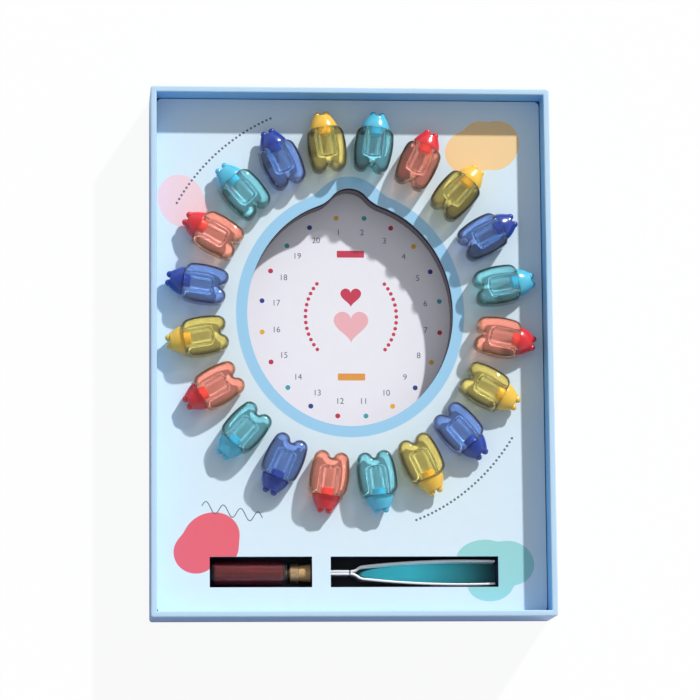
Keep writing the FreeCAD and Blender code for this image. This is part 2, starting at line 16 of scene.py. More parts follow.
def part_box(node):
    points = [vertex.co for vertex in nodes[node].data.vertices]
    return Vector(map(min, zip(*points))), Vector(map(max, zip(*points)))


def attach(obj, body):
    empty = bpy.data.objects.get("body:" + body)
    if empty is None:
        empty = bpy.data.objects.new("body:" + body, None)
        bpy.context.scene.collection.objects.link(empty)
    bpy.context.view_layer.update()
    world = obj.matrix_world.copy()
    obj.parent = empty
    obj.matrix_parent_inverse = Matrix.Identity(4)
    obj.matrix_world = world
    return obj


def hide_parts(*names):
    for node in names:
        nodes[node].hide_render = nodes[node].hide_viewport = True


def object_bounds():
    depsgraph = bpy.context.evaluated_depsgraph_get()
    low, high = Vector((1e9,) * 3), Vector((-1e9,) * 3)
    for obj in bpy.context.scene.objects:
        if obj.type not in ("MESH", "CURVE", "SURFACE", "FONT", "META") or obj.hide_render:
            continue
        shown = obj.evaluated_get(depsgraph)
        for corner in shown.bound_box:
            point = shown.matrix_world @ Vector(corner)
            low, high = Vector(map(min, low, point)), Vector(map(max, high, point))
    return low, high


MM = 0.001
# The window and the ring of capsules have one middle, this far behind the middle of the box
LAYOUT_Y = 20.5

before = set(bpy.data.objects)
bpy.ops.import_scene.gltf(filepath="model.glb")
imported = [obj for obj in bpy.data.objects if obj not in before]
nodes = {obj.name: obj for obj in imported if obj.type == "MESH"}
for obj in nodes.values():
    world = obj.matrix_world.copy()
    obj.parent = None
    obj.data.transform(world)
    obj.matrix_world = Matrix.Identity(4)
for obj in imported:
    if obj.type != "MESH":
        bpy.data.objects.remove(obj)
cad_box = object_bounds()
print("solid model, mm:", [round(v / MM, 1) for corner in cad_box for v in corner])

# %% [markdown]
# ## Small tools
# Colours are written as the sRGB hex values that a colour chart gives, while shaders add up linear
# light, so one function turns the first into the second. One function adds a shader node: a socket
# that is handed another node's output gets a link, and any other value is set on the socket. Most
# surfaces are two close tones over a fine relief, both from soft noise of a real size, and prints
# are made of ovals, so those patterns have functions too.

# %% Colours and nodes
def linear(colour):
    """An sRGB hex colour as linear RGBA: the toe is a straight line and the rest a 2.4 power."""
    parts = np.array([int(colour[start:start + 2], 16) for start in (1, 3, 5)]) / 255
    curve = np.where(parts <= 0.04045, parts / 12.92, ((parts + 0.055) / 1.055) ** 2.4)
    return (*curve.tolist(), 1.0)


def add_node(finish, kind, sockets=(), **settings):
    """Add a node to a material or a world, apply its settings, and fill its sockets."""
    tree = finish.node_tree
    node = tree.nodes.new("ShaderNode" + kind)
    for name, value in settings.items():
        setattr(node, name, value)
    for name, value in dict(sockets).items():
        if isinstance(value, bpy.types.NodeSocket):
            tree.links.new(value, node.inputs[name])
        else:
            node.inputs[name].default_value = value
    return node


def new_finish(name, sockets=()):
    """A material whose shader has these values on its own sockets; returns it, shader and place."""
    finish = bpy.data.materials.new(name)
    finish.use_nodes = True
    shader = finish.node_tree.nodes["Principled BSDF"]
    for socket, value in dict(sockets).items():
        shader.inputs[socket].default_value = value
    place = add_node(finish, "TexCoord").outputs["Object"]
    return finish, shader, place


def plug_in(finish, shader, sockets):
    """Link the outputs of nodes to sockets of a material's shader."""
    for name, source in sockets.items():
        finish.node_tree.links.new(source, shader.inputs[name])


def two_tones(finish, place, size, colour, other, detail):
    """Two colours blended by soft noise of a size in millimetres."""
    cloud = add_node(finish, "TexNoise", {"Vector": place, "Scale": 1 / (size * MM), "Detail": detail})
    tone = add_node(finish, "Mix", {0: cloud.outputs["Fac"], 6: linear(colour), 7: linear(other)},
                    data_type="RGBA")
    return tone.outputs[2]


def noise_relief(finish, place, size, detail, strength, depth):
    """A surface normal tilted by soft noise; its size and depth are in millimetres."""
    noise = add_node(finish, "TexNoise", {"Vector": place, "Scale": 1 / (size * MM), "Detail": detail})
    relief = add_node(finish, "Bump", {"Height": noise.outputs["Fac"], "Strength": strength,
                                       "Distance": depth * MM})
    return relief.outputs["Normal"]


def oval_distance(finish, place, centre, radii, turn=0.0):
    """How far a point lies from an oval's middle, counted in the oval's own radii."""
    local = add_node(finish, "Mapping", {
        "Vector": place, "Location": (centre[0] * MM, centre[1] * MM, 0.0),
        "Rotation": (0.0, 0.0, math.radians(turn)), "Scale": (radii[0] * MM, radii[1] * MM, 1.0),
    }, vector_type="TEXTURE")
    return add_node(finish, "VectorMath", {0: local.outputs[0]}, operation="LENGTH").outputs["Value"]


print("pale blue as linear light:", [round(v, 3) for v in linear("#cfeaf8")])

# %% [markdown]
# ## From arrays of points to a piece
# A new piece is a set of patches. A patch is a grid of points worked out as one array, with quads
# between neighbours, or a flat loop closed by a single face. Patches that share an edge are merged,
# the faces are turned outwards, and edges sharper than a limit stay crisp when the rest is smooth.

# %% Patches and pieces
def grid(points, around=False):
    """Quads between neighbouring points of rows by columns; around joins last column to first."""
    rows, columns = points.shape[:2]
    index = np.arange(rows * columns).reshape(rows, columns)
    if around:
        index = np.hstack([index, index[:, :1]])
    quads = np.stack([index[:-1, :-1], index[:-1, 1:], index[1:, 1:], index[1:, :-1]], -1)
    return points.reshape(-1, 3), quads.reshape(-1, 4)


def lid(loop):
    """One flat face inside a closed loop of points."""
    return loop, np.arange(len(loop))[None, :]


def at_height(outline, height):
    """A flat outline of X and Y, lifted to a height."""
    return np.column_stack([outline, np.full(len(outline), height)])


def make_piece(name, patches, finish, body, stands_for=(), crisp=35.0, closed=True):
    """A mesh of all the patches, given in millimetres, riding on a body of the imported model."""
    starts = np.cumsum([0] + [len(points) for points, _ in patches])
    faces = []
    for (_, patch_faces), start in zip(patches, starts):
        faces += (patch_faces + start).tolist()
    mesh = bpy.data.meshes.new(name)
    points = np.concatenate([points for points, _ in patches])
    mesh.from_pydata((points * MM).tolist(), [], faces)
    shell = bmesh.new()
    shell.from_mesh(mesh)
    bmesh.ops.remove_doubles(shell, verts=shell.verts, dist=0.0005 * MM)
    bmesh.ops.dissolve_degenerate(shell, edges=shell.edges, dist=0.0002 * MM)
    if closed:
        bmesh.ops.recalc_face_normals(shell, faces=shell.faces)
    shell.to_mesh(mesh)
    shell.free()
    mesh.shade_smooth()
    mesh.set_sharp_from_angle(angle=math.radians(crisp))
    mesh.materials.append(finish)
    piece = bpy.data.objects.new(name, mesh)
    bpy.context.scene.collection.objects.link(piece)
    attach(piece, body)
    if stands_for:
        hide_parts(*stands_for)
    return piece


def dress(node, finish):
    """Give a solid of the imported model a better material."""
    nodes[node].data.materials.clear()
    nodes[node].data.materials.append(finish)


print("tools ready:", [tool.__name__ for tool in (grid, lid, make_piece, dress)])

# %% [markdown]
# ## Paper over board
# The tray is grey board wrapped in coated paper, printed blue and laminated, so no board edge
# shows: a sky-blue lining inside, and outside a greyer blue that is painted shade for the outer
# walls. Coated paper is even in colour, with a faint cloudiness some millimetres wide and a fine
# fibre relief that breaks up its satin shine.
# The rim's top turns paler over its highest millimetre. The two colours could be two materials, but
# then the seam would have to follow an edge of the mesh; how far a point lies from the box's middle
# tells inside from outside.

# %% Paper finishes
CLOUD, FIBRE = 7.0, 0.5


def paper_finish(name, colour, cloud_colour, roughness):
    """Coated paper: two close tones blended by soft noise, over a relief of fine fibres.

    The fibres are drawn about five times as coarse as real ones, so that they show at all.
    """
    finish, shader, place = new_finish(name, {"Roughness": roughness, "IOR": 1.5})
    tone = two_tones(finish, place, CLOUD, colour, cloud_colour, detail=3.0)
    fibres = noise_relief(finish, place, FIBRE, detail=4.0, strength=0.25, depth=0.04)
    plug_in(finish, shader, {"Base Color": tone, "Normal": fibres})
    return finish, shader, place, tone


wrap_paper, wrap_shader, wrap_place, lining_tone = paper_finish(
    "laminated_blue_wrapping_paper", "#7cc4ff", "#85c9ff", 0.42)
BOX_X, BOX_Y, BOX_Z = ((high - low) / MM for low, high in zip(*cad_box))
OUTSIDE_DEPTH = 1.0
PALE_FROM, PALE_TO = 31.9, 32.9
distance_out = add_node(wrap_paper, "VectorMath", {0: wrap_place}, operation="ABSOLUTE")
from_edge = add_node(wrap_paper, "VectorMath", {
    0: distance_out.outputs[0],
    1: ((BOX_X / 2 - OUTSIDE_DEPTH) * MM, (BOX_Y / 2 - OUTSIDE_DEPTH) * MM, 0.0)}, operation="SUBTRACT")
sides = add_node(wrap_paper, "SeparateXYZ", {0: from_edge.outputs[0]})
outermost = add_node(wrap_paper, "Math", {0: sides.outputs["X"], 1: sides.outputs["Y"]},
                     operation="MAXIMUM")
outside = add_node(wrap_paper, "Math", {0: outermost.outputs[0], 1: 0.0}, operation="GREATER_THAN")
# Outside the lining the colour is a greyer blue: painted shade for the outer walls.
wrapped = add_node(wrap_paper, "Mix", {0: outside.outputs[0], 6: lining_tone, 7: linear("#84a6d8")},
                   data_type="RGBA")
height = add_node(wrap_paper, "SeparateXYZ", {0: wrap_place})
# The rim's top turns paler over its highest millimetre.
rim_paling = add_node(wrap_paper, "MapRange", {0: height.outputs["Z"], 1: PALE_FROM * MM,
                                             2: PALE_TO * MM, 3: 0.0, 4: 0.9})
paled_rim = add_node(wrap_paper, "Mix", {0: rim_paling.outputs[0], 6: wrapped.outputs[2], 7: linear("#c4e1f6")},
                data_type="RGBA")
plug_in(wrap_paper, wrap_shader, {"Base Color": paled_rim.outputs[2]})
print("finish:", wrap_paper.name)

# %% [markdown]
# ## The tray
# Five boards under one skin of paper could be five boxes, but then each corner would show a seam
# that the paper covers. So the tray is one surface: a profile that runs under the base, up the
# outside, over the rounded rim and down the inside, carried round a rectangle with small corners.

# %% Tray surface
WALL, FLOOR = 3.0, 2.5
FOLD = 0.6
CORNER, LEAST_CORNER = 1.4, 0.25


def rounded_rectangle(half_x, half_y, radius, steps=9):
    """Round a rectangle, anticlockwise: each corner is a quarter circle about its own centre."""
    angle = np.arange(4)[:, None] * np.pi / 2 + np.linspace(0, np.pi / 2, steps)[None, :]
    side_x = np.array([1, -1, -1, 1])[:, None]
    side_y = np.array([1, 1, -1, -1])[:, None]
    x = side_x * (half_x - radius) + radius * np.cos(angle)
    y = side_y * (half_y - radius) + radius * np.sin(angle)
    return np.stack([x, y], -1).reshape(-1, 2)


def quarter(centre, radius, start, steps=7):
    """A quarter circle, clockwise from the start angle, as rows of two coordinates."""
    angle = math.radians(start) - np.linspace(0, np.pi / 2, steps)
    return np.column_stack([centre[0] + radius * np.cos(angle), centre[1] + radius * np.sin(angle)])


profile = np.concatenate([
    quarter((FOLD, FOLD), FOLD, 270),
    quarter((FOLD, BOX_Z - FOLD), FOLD, 180),
    quarter((WALL - FOLD, BOX_Z - FOLD), FOLD, 90),
    [[WALL, FLOOR]],
])
rings = []
for inset, up in profile:
    corner = max(CORNER - inset, LEAST_CORNER)
    rings.append(at_height(rounded_rectangle(BOX_X / 2 - inset, BOX_Y / 2 - inset, corner), up))
tray = make_piece(
    "paper_wrapped_tray", [grid(np.stack(rings), around=True), lid(rings[0]), lid(rings[-1])],
    wrap_paper, "tray", ("bottom_board", "front_wall", "back_wall", "left_wall", "right_wall"))
print("tray rings:", len(rings), "points each:", len(rings[0]))

# %% [markdown]
# ## The foam block
# Under the printed board lies a block of dark foam, die-cut for the window and the slots. Foam
# stays a touch soft at a cut edge, and its cut faces show closed cells some 0.7 mm wide. Its upper
# face is white as painted light: seen through a clear capsule, it stands in for the light that the
# capsule bends onto it. Round the window its lower layer is a paler foam in a grey darkened as
# painted shade. The block keeps the solid's outline: its mesh is copied and merged, and its edges
# are eased.

# %% Foam
CELL = 0.7
GREY_LAYER_TOP, GREY_OVAL = 13.0, (66.0, 72.0)
foam_finish, foam_shader, foam_place = new_finish(
    "die_cut_closed_cell_foam", {"Roughness": 0.85, "Specular IOR Level": 0.3})
cells = add_node(foam_finish, "TexVoronoi", {"Vector": foam_place, "Scale": 1 / (CELL * MM)})
cell_tone = add_node(foam_finish, "Mix", {0: cells.outputs["Distance"], 6: linear("#141a30"),
                                          7: linear("#27325a")}, data_type="RGBA")
cell_relief = add_node(foam_finish, "Bump", {"Height": cells.outputs["Distance"], "Strength": 0.5,
                                             "Distance": 0.15 * MM})
foam_facing = add_node(foam_finish, "NewGeometry")
foam_upward = add_node(foam_finish, "SeparateXYZ", {0: foam_facing.outputs["True Normal"]})
# Faces that look up are white: painted light for the light bent through the capsules.
painted_light_top = add_node(foam_finish, "Math", {0: foam_upward.outputs["Z"], 1: 0.9}, operation="GREATER_THAN")
foam_at = add_node(foam_finish, "SeparateXYZ", {0: foam_place})
# Round the window the lower layer is a paler foam in a grey darkened as painted shade.
lower_layer = add_node(foam_finish, "Math", {0: foam_at.outputs["Z"], 1: GREY_LAYER_TOP * MM},
                       operation="LESS_THAN")
window_room = oval_distance(foam_finish, foam_place, (0.0, LAYOUT_Y), GREY_OVAL)
in_window = add_node(foam_finish, "Math", {0: window_room, 1: 1.0}, operation="LESS_THAN")
window_shade_layer = add_node(foam_finish, "Math", {0: lower_layer.outputs[0], 1: in_window.outputs[0]},
                         operation="MULTIPLY")
foam_wall = add_node(foam_finish, "Mix", {0: window_shade_layer.outputs[0], 6: cell_tone.outputs[2],
                                          7: linear("#7d787c")}, data_type="RGBA")
foam_skin = add_node(foam_finish, "Mix", {0: painted_light_top.outputs[0], 6: foam_wall.outputs[2],
                                          7: linear("#f4f6f6")}, data_type="RGBA")
plug_in(foam_finish, foam_shader, {"Base Color": foam_skin.outputs[2],
                                   "Normal": cell_relief.outputs["Normal"]})

foam_mesh = nodes["foam_insert"].data.copy()
foam_mesh.name = "foam_block"
block = bmesh.new()
block.from_mesh(foam_mesh)
bmesh.ops.remove_doubles(block, verts=block.verts, dist=0.002 * MM)
bmesh.ops.dissolve_limit(block, angle_limit=math.radians(1), verts=block.verts, edges=block.edges)
block.to_mesh(foam_mesh)
block.free()
foam_mesh.materials.clear()
foam_mesh.materials.append(foam_finish)
foam = bpy.data.objects.new("foam_block", foam_mesh)
bpy.context.scene.collection.objects.link(foam)
eased = foam.modifiers.new("eased edges", "BEVEL")
eased.width = 0.25 * MM
eased.segments = 2
eased.limit_method = "ANGLE"
eased.angle_limit = math.radians(50)
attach(foam, "insert")
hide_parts("foam_insert")
print("foam block faces:", len(foam_mesh.polygons))

# %% [markdown]
# ## The printed board
# The top board is pale blue card with a sky-blue band round the window and a few soft blots of
# colour. Flat shapes of ink could be thin meshes laid on the card, but they would have to be cut
# round every slot and seat. Ink in the material follows the cut card by itself. Each blot is a union
# of ovals: a point's distance from an oval's middle is measured in radii, so 1 is the edge, and the
# smallest of the distances, softly blended, makes one rounded outline.

# %% Ink on the board
board_paper, board_shader, board_place, board_ink = paper_finish(
    "printed_insert_card", "#dbedf6", "#e0f0f8", 0.5)

BLOTS = {
    "#f8d6da": [((-84.5, 77.0), (11.5, 13.5), 20), ((-79.0, 70.5), (8.5, 8.5), 0)],
    "#fbd59b": [((61.5, 103.0), (13.0, 11.5), 15), ((74.5, 106.5), (11.5, 13.0), -25),
                ((67.0, 111.0), (9.0, 8.0), 0)],
    "#ee6674": [((-70.0, -92.5), (14.5, 12.5), 25), ((-77.5, -99.5), (11.0, 10.5), 0),
                ((-64.5, -97.5), (8.0, 9.0), -15)],
    "#9cd8d6": [((64.0, -101.5), (12.5, 8.0), 10), ((78.0, -105.0), (12.5, 11.0), -15),
                ((68.5, -115.5), (11.5, 8.5), 5)],
}
BLOT_BLEND = 0.25


def inked(finish, paper, distance, ink, blur=0.012):
    """Ink where the distance is below 1, fading to the paper over a hair's breadth."""
    cover = add_node(finish, "MapRange", {0: distance, 1: 1 - blur, 2: 1 + blur, 3: 1.0, 4: 0.0})
    return add_node(finish, "Mix", {0: cover.outputs[0], 6: paper, 7: ink}, data_type="RGBA").outputs[2]


for blot_colour, ovals in BLOTS.items():
    spread = None
    for centre, radii, turn in ovals:
        reach = oval_distance(board_paper, board_place, centre, radii, turn)
        if spread is None:
            spread = reach
        else:
            spread = add_node(board_paper, "Math", {0: spread, 1: reach, 2: BLOT_BLEND},
                              operation="SMOOTH_MIN").outputs[0]
    board_ink = inked(board_paper, board_ink, spread, linear(blot_colour))

WINDOW = (51.6, 57.1)
NOTCH_Y, NOTCH_RADIUS, NOTCH_BLEND = 73.1, 11.0, 0.3
BAND = 5.6
window_reach = oval_distance(board_paper, board_place, (0.0, LAYOUT_Y), [half + BAND for half in WINDOW])
notch_reach = oval_distance(board_paper, board_place, (0.0, NOTCH_Y), [NOTCH_RADIUS + BAND] * 2)
band_reach = add_node(board_paper, "Math", {0: window_reach, 1: notch_reach, 2: NOTCH_BLEND},
                      operation="SMOOTH_MIN")
board_ink = inked(board_paper, board_ink, band_reach.outputs[0], linear("#9fd2f2"), blur=0.004)
print("blots:", len(BLOTS), "and a band of", BAND, "mm round the window")

# %% [markdown]
# The board was printed before it was cut, so a cut edge shows the white core of the card. A face
# that looks up is printed; any other is core.

# %% Cut edges of the board
facing = add_node(board_paper, "NewGeometry")
upward = add_node(board_paper, "SeparateXYZ", {0: facing.outputs["Normal"]})
printed = add_node(board_paper, "Math", {0: upward.outputs["Z"], 1: 0.5}, operation="GREATER_THAN")
skin = add_node(board_paper, "Mix", {0: printed.outputs[0], 6: linear("#e9edf2"), 7: board_ink},
                data_type="RGBA")
plug_in(board_paper, board_shader, {"Base Color": skin.outputs[2]})
dress("insert_top_board", board_paper)
print("dressed: insert_top_board")

# %% [markdown]
# ## Small prints
# Fine marks could be ink in the material too, but each would take several nodes. So they are flat
# meshes that lie a fiftieth of a millimetre above the card. A dot is a filled circle, and the wavy
# line is a sine wave with a width.

# %% Marks of ink
INK, COAT = 0.02, 1.2
BOARD_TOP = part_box("insert_top_board")[1].z / MM
CARD_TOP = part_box("chart_card")[1].z / MM


def ink_finish(name, colour, deep):
    """Offset ink: nearly even, a little thicker in places about a millimetre apart."""
    finish, shader, place = new_finish(name, {"Roughness": 0.45, "IOR": 1.5})
    plug_in(finish, shader, {"Base Color": two_tones(finish, place, COAT, colour, deep, detail=2.0)})
    return finish


def dots(centres, radius, height, steps=20):
    """A disc at each centre: points on a circle, repeated for all centres at once."""
    angle = np.linspace(0, 2 * np.pi, steps, endpoint=False)
    circle = radius * np.column_stack([np.cos(angle), np.sin(angle)])
    points = np.asarray(centres)[:, None, :] + circle[None, :, :]
    faces = np.arange(len(centres) * steps).reshape(len(centres), steps)
    return at_height(points.reshape(-1, 2), height), faces


def ribbon(line, width, height):
    """A band of even width along a line: each point is moved to both sides along its normal."""
    along = np.gradient(line, axis=0)
    along /= np.linalg.norm(along, axis=1)[:, None]
    side = np.column_stack([-along[:, 1], along[:, 0]]) * width / 2
    both = np.stack([line + side, line - side], 1)
    return grid(np.concatenate([both, np.full((*both.shape[:2], 1), height)], -1))


def oval_points(centre, radii, start, end, count):
    """Points on an oval between two angles in degrees."""
    angle = np.radians(np.linspace(start, end, count))
    return np.column_stack([centre[0] + radii[0] * np.cos(angle), centre[1] + radii[1] * np.sin(angle)])


# Each row of dots follows a part of an oval: its radii, and the angles where it starts and ends
ROWS = (((101.0, 107.5), 149, 113), ((98.0, 110.0), 289, 325))
ROW_COUNT, ROW_DOT = 30, 0.62
WAVE_X, WAVE_LENGTH = -74.5, 30.0
WAVE_Y, WAVE_FALL = -76.5, 6.0
WAVE_SWING, WAVE_COUNT, WAVE_WIDTH = 2.6, 3.5, 0.45

slate_ink = ink_finish("slate_grey_offset_ink", "#5d6478", "#6a7184")
row_places = np.concatenate([oval_points((0.0, LAYOUT_Y), *row, ROW_COUNT) for row in ROWS])
row_dots = dots(row_places, ROW_DOT, BOARD_TOP + INK, steps=12)
make_piece("dotted_rows", [row_dots], slate_ink, "insert", closed=False)
run = np.linspace(0, 1, 160)
swing = WAVE_SWING * np.sin(2 * np.pi * WAVE_COUNT * run)
wave = np.column_stack([WAVE_X + WAVE_LENGTH * run, WAVE_Y - WAVE_FALL * run + swing])
make_piece("wavy_line", [ribbon(wave, WAVE_WIDTH, BOARD_TOP + INK)], slate_ink, "insert", closed=False)
print("marks on the board:", len(row_places), "dots and a wave")

# %% [markdown]
# ## The chart card
# A stiff white card lies under the window: an oval of coloured dots, one for each capsule, with a
# plain number beside each, two coloured bars and two hearts in the middle. Numbers are set in
# Blender's own font, turned into meshes and laid down flat.

# %% Chart
chart_stock, *_ = paper_finish("white_chart_card", "#efedf5", "#f3f1f8", 0.5)
dress("chart_card", chart_stock)

COLOURS = ("yellow teal red yellow blue teal red yellow blue yellow "
           "teal red blue teal red yellow blue red teal blue").split()
CHART = (1.5, 21.0)
DOT_OVAL, DOT_RADIUS = (45.4, 51.1), 1.25
NUMBER_OVAL, NUMBER_SIZE = (38.2, 43.6), 4.2
DOT_INKS = {
    "yellow": ink_finish("warm_yellow_offset_ink", "#f0b840", "#eaae36"),
    "teal": ink_finish("teal_offset_ink", "#46a9b4", "#3f9fab"),
    "red": ink_finish("red_offset_ink", "#c83550", "#bf2e49"),
    "blue": ink_finish("blue_offset_ink", "#2f4396", "#293b8a"),
}
first = 90 + 180 / len(COLOURS)
angles = first - np.arange(len(COLOURS)) * 360 / len(COLOURS)
dot_places = oval_points(CHART, DOT_OVAL, angles[0], angles[-1], len(angles))
for colour, ink in DOT_INKS.items():
    chosen = dot_places[[name == colour for name in COLOURS]]
    chart_dots = dots(chosen, DOT_RADIUS, CARD_TOP + INK)
    make_piece(f"chart_dots_{colour}", [chart_dots], ink, "tray", closed=False)


def number_patch(text, centre, size, height):
    """A number as triangles: the font's own outline, filled, moved to its place on the card."""
    letters = bpy.data.curves.new("number", "FONT")
    letters.body = text
    letters.size = size
    letters.align_x = "CENTER"
    letters.align_y = "CENTER"
    holder = bpy.data.objects.new("number", letters)
    mesh = bpy.data.meshes.new_from_object(holder)
    mesh.calc_loop_triangles()
    points = np.empty(len(mesh.vertices) * 3, np.float32)
    mesh.vertices.foreach_get("co", points)
    corners = np.empty(len(mesh.loop_triangles) * 3, np.int32)
    mesh.loop_triangles.foreach_get("vertices", corners)
    bpy.data.objects.remove(holder)
    bpy.data.curves.remove(letters)
    bpy.data.meshes.remove(mesh)
    return at_height(points.reshape(-1, 3)[:, :2] + centre, height), corners.reshape(-1, 3)


number_places = oval_points(CHART, NUMBER_OVAL, angles[0], angles[-1], len(angles))
numbers = [number_patch(str(count + 1), place, NUMBER_SIZE, CARD_TOP + INK)
           for count, place in enumerate(number_places)]
make_piece("chart_numbers", numbers, slate_ink, "tray", closed=False)
print("chart:", len(dot_places), "dots and", len(numbers), "numbers")

# %% [markdown]
# A heart is a classic curve: its width is the cube of a sine, and its height a sum of four
# cosines. The two bars are rectangles with small corners, and two arcs of dots close the design.

# %% Chart motif
BAR_HALF_LENGTH, BAR_HALF_WIDTH, BAR_CORNER = 6.9, 1.75, 0.5
CRIMSON_BAR_Y, ORANGE_BAR_Y = 53.0, -9.7
ARC_OVAL, ARC_COUNT, ARC_DOT = (23.0, 25.0), 13, 0.95
ARC_TURNS = ((222, 138), (-42, 42))


def heart(centre, width):
    """The outline of a heart, scaled so that its full width is as given."""
    turn = np.linspace(0, 2 * np.pi, 64, endpoint=False)
    x = 16 * np.sin(turn) ** 3
    y = 13 * np.cos(turn) - 5 * np.cos(2 * turn) - 2 * np.cos(3 * turn) - np.cos(4 * turn)
    return np.column_stack([x, y])[::-1] * width / 32 + centre


crimson_ink = ink_finish("crimson_offset_ink", "#d1405a", "#c73852")
pink_ink = ink_finish("pink_offset_ink", "#f4b9c0", "#f2b1b9")
orange_ink = ink_finish("orange_offset_ink", "#eaa24c", "#e59a43")
# For each heart: its ink, its middle's place along Y and its width
HEARTS = {"large": (pink_ink, 17.0, 17.5), "small": (crimson_ink, 31.5, 10.5)}
for size, (ink, middle_y, width) in HEARTS.items():
    outline = at_height(heart((CHART[0], middle_y), width), CARD_TOP + INK)
    make_piece(f"chart_heart_{size}", [lid(outline)], ink, "tray", closed=False)


def bar(centre):
    """A bar of ink with rounded corners."""
    outline = rounded_rectangle(BAR_HALF_LENGTH, BAR_HALF_WIDTH, BAR_CORNER, steps=5)
    return lid(at_height(outline + centre, CARD_TOP + INK))


arc_places = np.concatenate([oval_points(CHART, ARC_OVAL, *turns, ARC_COUNT) for turns in ARC_TURNS])
arcs = dots(arc_places, ARC_DOT, CARD_TOP + INK, steps=14)
crimson_bar, orange_bar = bar((CHART[0], CRIMSON_BAR_Y)), bar((CHART[0], ORANGE_BAR_Y))
make_piece("chart_crimson_marks", [crimson_bar, arcs], crimson_ink, "tray", closed=False)
make_piece("chart_orange_bar", [orange_bar], orange_ink, "tray", closed=False)
print("motif: two hearts, two bars and", len(arc_places), "dots")

# %% [markdown]
# ## The slot floor
# A black card closes the two slots from below; its black is painted shade for the slots' shaded
# floor. Between the arms of the tweezers it carries a teal field, partly print and partly a painted
# pool of light, which darkens towards the tips as painted shade. An oval distance gives the field
# its long, pointed shape.

# %% Slot card
# The card's black is painted shade for the slots' shaded floor.
slot_card, slot_shader, slot_place, slot_tone = paper_finish(
    "black_painted_shade_card", "#0f1420", "#151b29", 0.6)
SLOT_Y = (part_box("tweezers_heel")[0].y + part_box("tweezers_heel")[1].y) / 2 / MM
FIELD_X, FIELD_RADII = 55.0, (50.0, 5.5)
TIP_SHADE_FROM, TIP_SHADE_TO = 30.0, 74.0
# The teal field between the arms is partly print and partly a painted pool of light.
field = oval_distance(slot_card, slot_place, (FIELD_X, SLOT_Y), FIELD_RADII)
# Towards the tips the teal darkens: painted shade.
slot_along = add_node(slot_card, "SeparateXYZ", {0: slot_place})
tip_shade = add_node(slot_card, "MapRange", {0: slot_along.outputs["X"], 1: TIP_SHADE_FROM * MM,
                                             2: TIP_SHADE_TO * MM, 3: 0.0, 4: 1.0})
teal_and_tip_shade = add_node(slot_card, "Mix", {0: tip_shade.outputs[0], 6: linear("#4ae6f6"),
                                         7: linear("#0e4a52")}, data_type="RGBA")
slot_skin = inked(slot_card, slot_tone, field, teal_and_tip_shade.outputs[2], blur=0.02)
plug_in(slot_card, slot_shader, {"Base Color": slot_skin})
dress("slot_floor_card", slot_card)
print("slot floor: teal field about y =", round(SLOT_Y, 1), "mm")

# %% [markdown]
# ## The tooth capsules
# Each capsule is a thick slice of clear tinted plastic with the outline of a tooth: a flat mouth
# with round shoulders, two bulging sides and two round roots with a cleft between them. It could be
# a solid pushed out of a drawn outline, but its roundings would then come from a modifier. Here the
# outline is four kinds of arcs that touch. Moving it inwards changes the radii of the sides, roots
# and cleft, while the shoulders keep theirs. Such inset outlines, stacked along a quarter circle,
# give the rounded rim.

# %% Tooth outline
BODY_LENGTH, HALF_WIDTH, HALF_DEPTH = 22.0, 9.75, 6.5
BELLY, RIM, SHOULDER = 9.0, 3.4, 4.0
ROOT_RADIUS, ROOT_SPREAD, CLEFT_RADIUS = 4.0, 4.7, 1.1
BORE_RADIUS, BORE_DEPTH, BORE_END, BORE_STEPS = 5.15, 15.0, 2.0, 64

root_back = BODY_LENGTH - ROOT_RADIUS
rise = HALF_WIDTH - ROOT_SPREAD
side_radius = ((root_back - BELLY) ** 2 + rise ** 2 - ROOT_RADIUS ** 2) / (2 * (rise - ROOT_RADIUS))
side_centre = np.array([-BELLY, HALF_WIDTH - side_radius])
root_centre = np.array([-root_back, ROOT_SPREAD])
cleft_x = -root_back - math.sqrt((ROOT_RADIUS + CLEFT_RADIUS) ** 2 - ROOT_SPREAD ** 2)


def arc_points(centre, radius, start, end, count):
    """Points on a circle between two angles in radians."""
    angle = np.linspace(start, end, count)
    return np.column_stack([centre[0] + radius * np.cos(angle), centre[1] + radius * np.sin(angle)])


def tooth_half(inset):
    """Half a tooth from mouth to cleft: shoulder, side and root arcs, and half of the cleft's arc.

    The shoulder arc touches the flat mouth, and the side arc from inside.
    """
    radius = side_radius - inset
    shoulder_rise = math.sqrt((radius - SHOULDER) ** 2 - (BELLY - SHOULDER) ** 2)
    shoulder_centre = (-SHOULDER, side_centre[1] + shoulder_rise)
    meet = math.atan2(shoulder_rise, BELLY - SHOULDER)
    touch = math.atan2(*(root_centre - side_centre)[::-1])
    dip = math.atan2(-ROOT_SPREAD, cleft_x + root_back) % (2 * math.pi)
    shoulder = arc_points(shoulder_centre, SHOULDER, 0.0, meet, 10)
    side = arc_points(side_centre, radius, meet, touch, 18)
    root = arc_points(root_centre, ROOT_RADIUS - inset, touch, dip, 26)
    cleft = arc_points((cleft_x, 0.0), CLEFT_RADIUS + inset, dip - math.pi, 0.0, 8)
    return np.concatenate([shoulder, side[1:], root[1:], cleft[1:]])


def tooth_loop(inset):
    """The whole outline from one mouth corner round to the other: a half and its mirror image."""
    half = tooth_half(inset)
    return np.concatenate([half, half[-2::-1] * [1, -1]])


print("tooth outline: side radius", round(side_radius, 1), "mm,", len(tooth_loop(0.0)), "points")

# %% [markdown]
# The capsule's skin is a grid of those outlines. Two flat faces close it above and below, the
# mouth is two half rings round a bore, and the bore is a tube with a rounded end.

